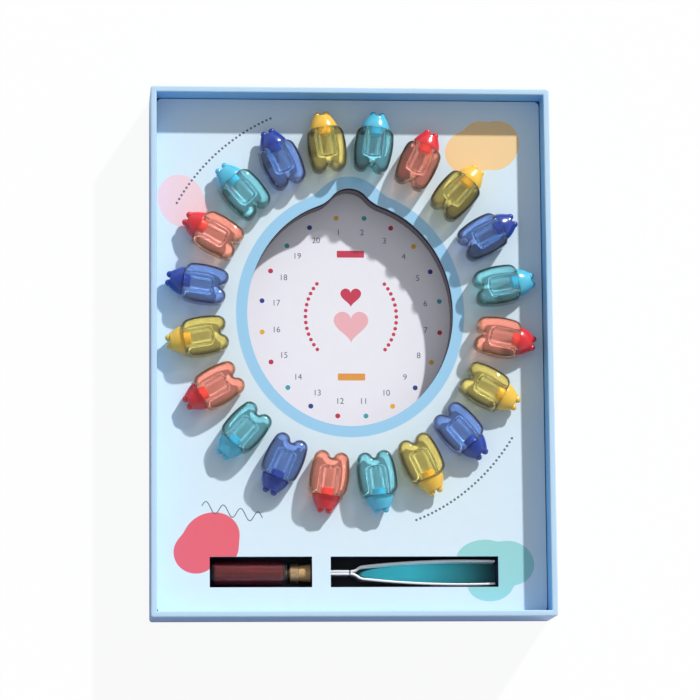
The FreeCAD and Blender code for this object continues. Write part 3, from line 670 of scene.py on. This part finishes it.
# %% Capsule body
def capsule_patches():
    """All patches of a capsule with its mouth at the origin, facing +X."""
    turn = np.linspace(0, np.pi / 2, 8)
    upper_inset = RIM * (1 - np.cos(turn))
    upper_height = HALF_DEPTH - RIM + RIM * np.sin(turn)
    insets = np.concatenate([upper_inset[::-1], [0.0], upper_inset])
    heights = np.concatenate([-upper_height[::-1], [0.0], upper_height])
    skin = np.stack([at_height(tooth_loop(inset), up) for inset, up in zip(insets, heights)])
    angle = np.linspace(0, 2 * np.pi, BORE_STEPS, endpoint=False)
    circle = np.column_stack([np.cos(angle), np.sin(angle)])
    easing = np.linspace(0, np.pi / 2, 7)
    tube_x = np.concatenate([[0.0], -BORE_DEPTH + BORE_END - BORE_END * np.sin(easing)])
    tube_r = np.concatenate([[BORE_RADIUS], BORE_RADIUS - BORE_END + BORE_END * np.cos(easing)])
    tube = np.concatenate([np.broadcast_to(tube_x[:, None, None], (len(tube_x), BORE_STEPS, 1)),
                           tube_r[:, None, None] * circle[None]], -1)
    middle, half_way = len(insets) // 2, BORE_STEPS // 2
    left, right = skin[:, 0], skin[:, -1]
    rim = np.concatenate([tube[0], tube[0, :1]])
    upper_mouth = np.concatenate([left[middle:], right[middle:][::-1], rim[:half_way + 1][::-1]])
    lower_mouth = np.concatenate([right[:middle + 1][::-1], left[:middle + 1], rim[half_way:][::-1]])
    return [grid(skin), lid(skin[0]), lid(skin[-1]), lid(upper_mouth), lid(lower_mouth),
            grid(tube, around=True), lid(tube[-1])]


RING, RING_MIDDLE, MOUTH_STEP = np.array([78.1, 87.1]), np.array([0.0, LAYOUT_Y]), 6.6
CAPSULE_AXIS = 24.0


def round_the_ring(patches, angle):
    """Move patches from the origin to their place on the oval ring, turned outwards from its middle."""
    out = RING * [math.cos(math.radians(angle)), math.sin(math.radians(angle))]
    out_length = np.linalg.norm(out)
    facing_x, facing_y = out / out_length
    middle = RING_MIDDLE + out * (1 + MOUTH_STEP / out_length)
    turn = np.array([[facing_x, facing_y, 0], [-facing_y, facing_x, 0], [0, 0, 1]])
    shift = np.array([*middle, CAPSULE_AXIS])
    return [(points @ turn + shift, faces) for points, faces in patches]


# For each colour: the capsule's flat faces, its rounded sides, and two pigments of the cap
TINTS = {
    "yellow": ("#a58c26", "#332c06", "#f6c94a", "#ecb840"),
    "teal": ("#3792a8", "#052e33", "#62c8e4", "#4bb6d4"),
    "red": ("#df553f", "#6a2a12", "#e83039", "#d3232c"),
    "blue": ("#274aa2", "#0a1440", "#2343a0", "#1a368f"),
}
# The upward part of the normal on a flat face, and on a side that is fully rounded
LEVEL_FACE, ROUND_SIDE = 0.995, 0.78
STREAK = 9.0


def seen_through(finish):
    """1 where a face is looked at through plastic or glass, and 0 elsewhere."""
    depth = add_node(finish, "LightPath").outputs["Transmission Depth"]
    return add_node(finish, "Math", {0: depth, 1: 0.5}, operation="GREATER_THAN").outputs[0]


def shadow_veil(finish, beside, inside):
    """The share of sunlight a face stops: in shadows beside it, and in those seen through plastic."""
    stopped = add_node(finish, "MapRange", {0: seen_through(finish), 1: 0.0, 2: 1.0, 3: beside,
                                            4: inside})
    ray = add_node(finish, "LightPath")
    veil = add_node(finish, "MapRange", {0: ray.outputs["Is Shadow Ray"], 1: 0.0, 2: 1.0, 3: 1.0,
                                         4: stopped.outputs[0]})
    return veil.outputs[0]


def clear_plastic(name, clear, thick):
    """Clear tinted polystyrene, polished in the mould: IOR 1.59, with faint flow streaks.

    The tint lies on the face that is seen first, and the faces behind it add none. It is deeper on the
    rounded sides, where sight lines run through more plastic. A sunbeam that is bent twice seldom
    meets the lamp again, so for shadows alone each face of the plastic lets light straight through:
    a part of it beside the capsule, and nearly all inside.
    """
    finish, shader, place = new_finish(name, {
        "Roughness": 0.03, "IOR": 1.59, "Transmission Weight": 0.93})
    normal = add_node(finish, "NewGeometry").outputs["Normal"]
    upright = add_node(finish, "SeparateXYZ", {0: normal}).outputs["Z"]
    level = add_node(finish, "Math", {0: upright}, operation="ABSOLUTE").outputs[0]
    rounding = add_node(finish, "MapRange", {0: level, 1: LEVEL_FACE, 2: ROUND_SIDE, 3: 0.0, 4: 1.0})
    tint = add_node(finish, "Mix", {0: rounding.outputs[0], 6: linear(clear), 7: linear(thick)},
                    data_type="RGBA")
    colour = add_node(finish, "Mix", {0: seen_through(finish), 6: tint.outputs[2], 7: linear("#ffffff")},
                      data_type="RGBA")
    streaks = noise_relief(finish, place, STREAK, detail=1.0, strength=0.12, depth=0.4)
    plug_in(finish, shader, {"Base Color": colour.outputs[2], "Normal": streaks,
                             "Alpha": shadow_veil(finish, beside=0.7, inside=0.06)})
    return finish


capsule_shape = capsule_patches()
tinted = {colour: clear_plastic(f"clear_{colour}_polystyrene", *tints[:2])
          for colour, tints in TINTS.items()}
for count, (colour, angle) in enumerate(zip(COLOURS, angles), start=1):
    capsule = make_piece(
        f"capsule_{count:02d}", round_the_ring(capsule_shape, angle), tinted[colour],
        f"capsule_{count:02d}", (f"tooth_capsule_{count:02d}",), crisp=50.0)
print("capsules:", count, "with faces each:", len(capsule.data.polygons))

# %% [markdown]
# ## The caps
# Each cap is an opaque dome with two round knobs, pushed into the capsule by a plug. The dome is a
# run of ovals whose width and depth shrink along the cap, so one grid does for plug and dome.

# %% Cap
CAP_HALF_WIDTH, CAP_HALF_DEPTH, CAP_LENGTH = 7.1, 5.2, 6.8
PLUG_RADIUS, PLUG_LENGTH, PLUG_BEVEL = 5.1, 3.6, 0.5
# The dome's run in cap lengths, how much width it loses along it, and how much at its rounded end
DOME_FROM, DOME_TO, DOME_LOSS, DOME_POWER, END_LOSS = 0.08, 0.86, 0.46, 1.6, 0.38
SEAM_X, SEAM_SHARE = 0.15, 0.985
KNOB_RADIUS, KNOB_REACH, KNOB_SPREAD, KNOB_RISE = 1.7, 1.9, 2.15, 2.0
CAP_TIP = CAP_LENGTH + KNOB_RISE
CAP_STEPS, KNOB_ROWS, KNOB_STEPS = 56, 13, 24
CAP_CLOUD, CAP_PEEL = 8.0, 0.6


def cap_patches():
    """All patches of a cap whose seam lies at the origin, with its dome along +X."""
    ease = np.linspace(0, np.pi / 2, 6)
    run = np.linspace(DOME_FROM, DOME_TO, 12)
    dome_share = 1 - DOME_LOSS * run ** DOME_POWER
    end_share = dome_share[-1] * (1 - END_LOSS + END_LOSS * np.cos(ease[1:]))
    end_x = CAP_LENGTH * (run[-1] + (1 - run[-1]) * np.sin(ease[1:]))
    plug_x = [-PLUG_LENGTH, -PLUG_LENGTH + PLUG_BEVEL, 0.0]
    plug_radii = [PLUG_RADIUS - PLUG_BEVEL, PLUG_RADIUS, PLUG_RADIUS]
    x = np.concatenate([plug_x, [0.0, SEAM_X], CAP_LENGTH * run, end_x])
    share = np.concatenate([[SEAM_SHARE, 1.0], dome_share, end_share])
    width = np.concatenate([plug_radii, CAP_HALF_WIDTH * share])
    depth = np.concatenate([plug_radii, CAP_HALF_DEPTH * share])
    angle = np.linspace(0, 2 * np.pi, CAP_STEPS, endpoint=False)
    ovals = np.stack([np.broadcast_to(x[:, None], (len(x), CAP_STEPS)), width[:, None] * np.cos(angle),
                      depth[:, None] * np.sin(angle)], -1)
    patches = [grid(ovals, around=True), lid(ovals[0]), lid(ovals[-1])]
    tilt = np.linspace(0, np.pi, KNOB_ROWS)
    ring = np.linspace(0, 2 * np.pi, KNOB_STEPS, endpoint=False)
    knob = np.stack([np.broadcast_to(KNOB_REACH * np.cos(tilt)[:, None], (KNOB_ROWS, KNOB_STEPS)),
                     KNOB_RADIUS * np.outer(np.sin(tilt), np.cos(ring)),
                     KNOB_RADIUS * np.outer(np.sin(tilt), np.sin(ring))], -1)
    for side in (1, -1):
        patches.append(grid(knob + [CAP_TIP - KNOB_REACH, side * KNOB_SPREAD, 0], around=True))
    return patches


def cap_plastic(name, bright, deep):
    """Opaque glossy ABS: a saturated pigment, slightly cloudy, under a moulded shine."""
    finish, shader, place = new_finish(name, {
        "Roughness": 0.22, "IOR": 1.53, "Coat Weight": 0.3, "Coat Roughness": 0.12})
    tone = two_tones(finish, place, CAP_CLOUD, bright, deep, detail=2.0)
    peel = noise_relief(finish, place, CAP_PEEL, detail=2.0, strength=0.05, depth=0.05)
    plug_in(finish, shader, {"Base Color": tone, "Normal": peel,
                             "Alpha": shadow_veil(finish, beside=1.0, inside=0.3)})
    return finish


cap_shape = cap_patches()
pigments = {colour: cap_plastic(f"glossy_{colour}_abs", *tints[2:]) for colour, tints in TINTS.items()}
for count, (colour, angle) in enumerate(zip(COLOURS, angles), start=1):
    cap = make_piece(
        f"cap_{count:02d}", round_the_ring(cap_shape, angle), pigments[colour],
        f"cap_{count:02d}", (f"capsule_cap_{count:02d}",), crisp=40.0)
print("caps:", count, "with faces each:", len(cap.data.polygons))

# %% [markdown]
# ## The vial
# A glass vial is drawn from tube, so its foot and shoulder are rounded and its lip is rolled. It is
# a surface of revolution: one profile that runs up the outside, over the lip and down the inside,
# turned about the vial's own axis. The cork and the filling are turned the same way.

# %% Turned pieces
glass_low, glass_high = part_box("vial_glass")
VIAL_Y, VIAL_Z = SLOT_Y, (glass_low.z + glass_high.z) / 2 / MM
GLASS_LEFT, GLASS_RIGHT = glass_low.x / MM, glass_high.x / MM


def turned(profile, count=64, flutes=0, flute_depth=0.0):
    """Turn rows of (place along X, radius) about the vial's axis; flutes ripple the radius."""
    angle = np.linspace(0, 2 * np.pi, count, endpoint=False)
    radius = profile[:, 1:] * (1 + flute_depth * np.cos(flutes * angle)[None, :])
    x = np.broadcast_to(profile[:, :1], radius.shape)
    points = np.stack([x, VIAL_Y + radius * np.cos(angle), VIAL_Z + radius * np.sin(angle)], -1)
    return grid(points, around=True)


def bend(start, end, centre_x, centre_r, radius, steps=8):
    """An arc of a profile between two angles in degrees."""
    angle = np.radians(np.linspace(start, end, steps))
    return np.column_stack([centre_x + radius * np.cos(angle), centre_r + radius * np.sin(angle)])


BARREL, GLASS_WALL, NECK, NECK_BORE, LIP = 6.8, 0.9, 4.9, 3.7, 5.5
BORE = BARREL - GLASS_WALL
NECK_LENGTH, SHOULDER_LENGTH, SHOULDER_RUN = 4.6, 2.0, 2.4
FOOT, FOOT_BEND, BORE_BEND = 1.4, 1.2, 1.5
LIP_LENGTH, LIP_BEND, LIP_EASE_X, LIP_EASE = 1.6, 0.6, 0.15, 0.25
MOUTH_X, MOUTH_EASE_X, MOUTH_EASE = 0.5, 0.2, 0.15
shoulder_left = GLASS_RIGHT - NECK_LENGTH - SHOULDER_LENGTH
slope = np.linspace(0, 1, 10)
ease_in = slope ** 2 * (3 - 2 * slope)
outer_shoulder = np.column_stack([shoulder_left + SHOULDER_RUN * slope,
                                  BARREL + (NECK - BARREL) * ease_in])
inner_shoulder = np.column_stack([shoulder_left - GLASS_WALL + SHOULDER_RUN * slope,
                                  BORE + (NECK_BORE - BORE) * ease_in])
glass_profile = np.concatenate([
    [[GLASS_LEFT, 0.0]],
    bend(180, 90, GLASS_LEFT + FOOT_BEND, BARREL - FOOT_BEND, FOOT_BEND),
    outer_shoulder,
    [[GLASS_RIGHT - LIP_LENGTH, NECK], [GLASS_RIGHT - LIP_LENGTH + LIP_EASE_X, LIP - LIP_EASE]],
    bend(150, 0, GLASS_RIGHT - LIP_BEND, LIP - LIP_BEND, LIP_BEND),
    [[GLASS_RIGHT - MOUTH_EASE_X, NECK_BORE + MOUTH_EASE], [GLASS_RIGHT - MOUTH_X, NECK_BORE]],
    inner_shoulder[::-1],
    bend(90, 180, GLASS_LEFT + FOOT + BORE_BEND, BORE - BORE_BEND, BORE_BEND),
    [[GLASS_LEFT + FOOT, 0.0]],
])
vial_glass, glass_shader, glass_place = new_finish("clear_drawn_glass", {
    "Base Color": linear("#f4f8f8"), "Roughness": 0.02, "IOR": 1.5, "Transmission Weight": 1.0,
    "Specular IOR Level": 0.15, "Alpha": 0.6})
GLASS_RIPPLE = 4.0
draw_lines = noise_relief(vial_glass, glass_place, GLASS_RIPPLE, detail=1.0, strength=0.1, depth=0.2)
plug_in(vial_glass, glass_shader, {"Normal": draw_lines})
glass = make_piece("glass_vial", [turned(glass_profile, count=72)], vial_glass, "vial", ("vial_glass",),
                   crisp=60.0)
print("vial, mm:", round(GLASS_RIGHT - GLASS_LEFT, 1), "long,", 2 * BARREL, "across")

# %% [markdown]
# The cork is punched from bark: tan, dotted with dark pores up to a millimetre wide, with a
# slightly uneven skin. The filling is a bundle of dark red fibres laid along the vial.

# %% Cork and filling
BARK_GRAIN, PORE_SPACING, STRAND = 2.2, 1.5, 1.3
cork_finish, cork_shader, cork_place = new_finish("punched_bark_cork", {"Roughness": 0.8})
bark = two_tones(cork_finish, cork_place, BARK_GRAIN, "#b98a57", "#d9b581", detail=5.0)
pores = add_node(cork_finish, "TexVoronoi", {"Vector": cork_place, "Scale": 1 / (PORE_SPACING * MM)})
pore_mask = add_node(cork_finish, "MapRange", {0: pores.outputs["Distance"], 1: 0.12, 2: 0.26,
                                               3: 0.8, 4: 0.0})
pitted = add_node(cork_finish, "Mix", {0: pore_mask.outputs[0], 6: bark, 7: linear("#6b4526")},
                  data_type="RGBA")
pits = add_node(cork_finish, "Bump", {"Height": pores.outputs["Distance"], "Strength": 0.5,
                                      "Distance": 0.25 * MM})
plug_in(cork_finish, cork_shader, {"Base Color": pitted.outputs[2], "Normal": pits.outputs["Normal"]})
cork_low, cork_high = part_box("vial_cork")
CORK_LEFT, CORK_RIGHT = cork_low.x / MM, cork_high.x / MM
CORK_RADIUS, CORK_BEND = 3.65, 0.4
CORK_TOP_RADIUS, CORK_TOP_BEND = 4.5, 0.5
cork_profile = np.concatenate([
    [[CORK_LEFT, 0.0]],
    bend(180, 90, CORK_LEFT + CORK_BEND, CORK_RADIUS - CORK_BEND, CORK_BEND, steps=5),
    [[GLASS_RIGHT, CORK_RADIUS]],
    bend(90, 0, CORK_RIGHT - CORK_TOP_BEND, CORK_TOP_RADIUS - CORK_TOP_BEND, CORK_TOP_BEND, steps=6),
    [[CORK_RIGHT, 0.0]]])
cork = make_piece("cork_stopper", [turned(cork_profile, count=56)], cork_finish, "cork", ("vial_cork",))

fill_finish, fill_shader, fill_place = new_finish("dark_red_fibre", {
    "Roughness": 0.6, "Specular IOR Level": 0.2})
lengthwise = add_node(fill_finish, "Mapping", {"Vector": fill_place, "Scale": (0.06, 1.0, 1.0)})
strand_place = lengthwise.outputs[0]
strand_tone = two_tones(fill_finish, strand_place, STRAND, "#3a0305", "#86090d", detail=4.0)
strand_relief = noise_relief(fill_finish, strand_place, STRAND, detail=4.0, strength=0.6, depth=0.3)
plug_in(fill_finish, fill_shader, {"Base Color": strand_tone, "Normal": strand_relief})
fill_low, fill_high = (corner.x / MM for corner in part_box("vial_fill"))
FILL_RADIUS, FILL_BEND = 5.55, 1.3
FILL_STEPS, FLUTES, FLUTE_DEPTH = 96, 16, 0.016
fill_profile = np.concatenate([
    [[fill_low, 0.0]], bend(180, 90, fill_low + FILL_BEND, FILL_RADIUS - FILL_BEND, FILL_BEND),
    bend(90, 0, fill_high - FILL_BEND, FILL_RADIUS - FILL_BEND, FILL_BEND), [[fill_high, 0.0]]])
fibres = turned(fill_profile, FILL_STEPS, FLUTES, FLUTE_DEPTH)
fill = make_piece("fibre_filling", [fibres], fill_finish, "vial", ("vial_fill",))
print("cork, mm:", round(CORK_RIGHT - CORK_LEFT, 1), "and filling:", round(fill_high - fill_low, 1))

# %% [markdown]
# ## The tweezers
# Sprung steel strip, lying on edge: two strips joined flat at the heel, then bowed apart. Each arm
# is a rounded strip section carried along three arcs that touch. The angle of the path is worked
# out along its length, and adding up small steps in that direction gives the curve.

# %% Tweezers
STRIP, STRIP_DEPTH, STRIP_EDGE, STRIP_GAP = 1.2, 10.0, 0.3, 0.1
FORK_RADIUS, FORK_TURN, FORK_RETURN = 5.4, 40.0, 33.6
BOW_RADIUS, BOW_TURN = 445.0, 8.5
FORK_STEPS, BOW_STEPS, KEPT_EACH = 60, 200, 4
heel_low, heel_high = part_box("tweezers_heel")
HEEL_LEFT, HEEL_RIGHT = heel_low.x / MM, heel_high.x / MM
STRIP_BOTTOM = heel_low.z / MM
FORK_X = HEEL_RIGHT + STRIP_GAP + STRIP / 2
SCRATCH = 0.4


def strip_along(line, across):
    """Carry a rounded strip section along a level line; across holds each point's sideways normal."""
    section = rounded_rectangle(STRIP / 2, STRIP_DEPTH / 2, STRIP_EDGE, steps=5)
    flat = line[:, None, :] + section[None, :, :1] * across[:, None, :]
    height = np.broadcast_to(STRIP_BOTTOM + STRIP_DEPTH / 2 + section[None, :, 1:], (*flat.shape[:2], 1))
    points = np.concatenate([flat, height], -1)
    return [grid(points, around=True), lid(points[0]), lid(points[-1])]


def arm_line(side):
    """An arm's path: the turn changes evenly along each arc, and steps along it are added up.

    The steps are fine, and the strip keeps one point in each few of them.
    """
    lengths = [math.radians(FORK_TURN) * FORK_RADIUS, math.radians(FORK_RETURN) * FORK_RADIUS,
               math.radians(BOW_TURN) * BOW_RADIUS]
    marks = np.concatenate([[0.0], np.cumsum(lengths)])
    turns = np.radians([0.0, FORK_TURN, FORK_TURN - FORK_RETURN, FORK_TURN - FORK_RETURN - BOW_TURN])
    runs = zip(marks, marks[1:], (FORK_STEPS, FORK_STEPS, BOW_STEPS))
    along = np.unique(np.concatenate([np.linspace(first, last, count) for first, last, count in runs]))
    heading = np.interp((along[1:] + along[:-1]) / 2, marks, turns)
    steps = np.diff(along)[:, None] * np.column_stack([np.cos(heading), side * np.sin(heading)])
    line = np.concatenate([[[0.0, 0.0]], np.cumsum(steps, axis=0)])
    turn = np.interp(along, marks, turns)
    across = np.column_stack([-side * np.sin(turn), np.cos(turn)])
    line += [FORK_X, SLOT_Y + side * (STRIP + STRIP_GAP) / 2]
    return line[::KEPT_EACH], across[::KEPT_EACH]


steel, steel_shader, steel_place = new_finish("satin_spring_steel", {
    "Base Color": linear("#f4f6f7"), "Metallic": 0.65, "Roughness": 0.5})
brushed = add_node(steel, "Mapping", {"Vector": steel_place, "Scale": (0.05, 1.0, 1.0)})
scratches = noise_relief(steel, brushed.outputs[0], SCRATCH, detail=3.0, strength=0.15, depth=0.05)
plug_in(steel, steel_shader, {"Normal": scratches})
for name, side in (("upper_arm", 1), ("lower_arm", -1)):
    arm = make_piece(f"steel_{name}", strip_along(*arm_line(side)), steel, name,
                     (f"tweezers_{name}",), crisp=50.0)
heel_line = np.array([[HEEL_LEFT, SLOT_Y], [HEEL_RIGHT, SLOT_Y]])
heel_strips = []
for side in (1, -1):
    strip_line = heel_line + [0.0, side * (STRIP + STRIP_GAP) / 2]
    heel_strips += strip_along(strip_line, np.array([[0.0, 1.0]] * 2))
heel = make_piece("steel_heel", heel_strips, steel, "tweezers", ("tweezers_heel",), crisp=50.0)
print("tweezers from x =", round(HEEL_LEFT, 1), "mm, fork at", round(FORK_X, 2), "mm")

# %% [markdown]
# ## Floor, light and camera
# The photograph has a white ground and one clear light from the upper right, whose shadows fall
# down to the left. A sun lamp two degrees wide gives that direction with soft edges, and an even
# sky fills the shadows. The two together light a level surface at about full strength, so colours
# keep their written values. The camera sees a plain white surround, straight or through plastic and
# glass. A reflection sees it too, up to where the sky overhead takes over, so that level faces keep
# their colour. The camera sees the floor as white with only a share of the shadow on it.

# %% Floor and light
FLOOR_HALF, FLOOR_DROP, SHADOW_SHARE = 4, 0.0002, 0.08
SUN_FROM, SUN_STRENGTH, SUN_DEGREES = (0.89, 1.33, 1.05), 3.3, 2
SKY_STRENGTH, SURROUND_TOP, SKY_BOTTOM = 0.42, 0.4, 0.8
floor_corners = [(side_x * FLOOR_HALF, side_y * FLOOR_HALF, -FLOOR_DROP)
                 for side_x, side_y in ((-1, -1), (1, -1), (1, 1), (-1, 1))]
floor_mesh = bpy.data.meshes.new("floor")
floor_mesh.from_pydata(floor_corners, [], [(0, 1, 2, 3)])
floor = bpy.data.objects.new("floor", floor_mesh)
bpy.context.scene.collection.objects.link(floor)
floor_finish, floor_shader, _ = new_finish("white_backdrop_paper", {
    "Base Color": linear("#fbfbfb"), "Roughness": 0.9, "Specular IOR Level": 0.0})
white_glow = add_node(floor_finish, "Emission", {"Color": (1, 1, 1, 1), "Strength": 1.0})
floor_ray = add_node(floor_finish, "LightPath")
seen_white = add_node(floor_finish, "Math", {0: floor_ray.outputs["Is Camera Ray"], 1: 1 - SHADOW_SHARE},
                      operation="MULTIPLY")
floor_look = add_node(floor_finish, "MixShader", {0: seen_white.outputs[0], 1: floor_shader.outputs[0],
                                                  2: white_glow.outputs[0]})
floor_finish.node_tree.links.new(floor_look.outputs[0],
                                 floor_finish.node_tree.nodes["Material Output"].inputs["Surface"])
floor_mesh.materials.append(floor_finish)

sun_lamp = bpy.data.lights.new("key", "SUN")
sun_lamp.energy = SUN_STRENGTH
sun_lamp.angle = math.radians(SUN_DEGREES)
sun = bpy.data.objects.new("key", sun_lamp)
sun.rotation_mode = "QUATERNION"
sun.rotation_quaternion = Vector(SUN_FROM).to_track_quat("Z", "Y")
bpy.context.scene.collection.objects.link(sun)

world = bpy.data.worlds.new("studio")
world.use_nodes = True
bpy.context.scene.world = world
sky = world.node_tree.nodes["Background"]
sky.inputs["Color"].default_value = linear("#f6faff")
sky.inputs["Strength"].default_value = SKY_STRENGTH
backdrop = add_node(world, "Background", {"Color": (1, 1, 1, 1)})
path = add_node(world, "LightPath")
way = add_node(world, "TexCoord")
way_up = add_node(world, "SeparateXYZ", {0: way.outputs["Generated"]})
surround = add_node(world, "MapRange", {0: way_up.outputs["Z"], 1: SURROUND_TOP, 2: SKY_BOTTOM,
                                        3: 1.0, 4: 0.0})
mirrored = add_node(world, "Math", {0: path.outputs["Is Glossy Ray"], 1: surround.outputs[0]},
                    operation="MULTIPLY")
seen = add_node(world, "Math", {0: path.outputs["Is Camera Ray"], 1: mirrored.outputs[0]},
                operation="MAXIMUM")
also_seen = add_node(world, "Math", {0: seen.outputs[0], 1: path.outputs["Is Transmission Ray"]},
                     operation="MAXIMUM")
chosen_sky = add_node(world, "MixShader", {0: also_seen.outputs[0], 1: sky.outputs[0],
                                           2: backdrop.outputs[0]})
world.node_tree.links.new(chosen_sky.outputs[0], world.node_tree.nodes["World Output"].inputs["Surface"])
print("sun", sun_lamp.energy, "and sky", sky.inputs["Strength"].default_value)

# %% [markdown]
# The camera hangs far above the box, a little towards its lower left corner, so the outsides of the
# left wall and the near wall just show. A long lens from far away keeps opposite edges nearly
# parallel.

# %% Camera
TILT_X, TILT_Y, ROLL = 4.72, 8.84, -0.0093
DISTANCE, FOCAL_PIXELS, IMAGE = 1.746, 3528.4, 700
PRINCIPAL, SENSOR = (353.1, 348.9), 36
away = Vector((-math.tan(math.radians(TILT_X)), -math.tan(math.radians(TILT_Y)), 1)).normalized()
right = Vector((0, 1, 0)).cross(away).normalized()
up = away.cross(right)
camera_data = bpy.data.cameras.new("camera")
camera_data.sensor_width = SENSOR
camera_data.lens = FOCAL_PIXELS / IMAGE * SENSOR
camera_data.shift_x = (IMAGE / 2 - PRINCIPAL[0]) / IMAGE
camera_data.shift_y = (PRINCIPAL[1] - IMAGE / 2) / IMAGE
camera_data.clip_end = 20
camera = bpy.data.objects.new("camera", camera_data)
bpy.context.scene.collection.objects.link(camera)
camera.rotation_mode = "QUATERNION"
turned_frame = Matrix((right * math.cos(ROLL) + up * math.sin(ROLL),
                       up * math.cos(ROLL) - right * math.sin(ROLL), away)).transposed()
camera.rotation_quaternion = turned_frame.to_quaternion()
camera.location = Vector((0, 0, BOX_Z * MM)) + away * DISTANCE
bpy.context.scene.camera = camera
bpy.context.scene.view_settings.view_transform = "Standard"
print("camera at", [round(v, 3) for v in camera.location], "lens", round(camera_data.lens, 1), "mm")
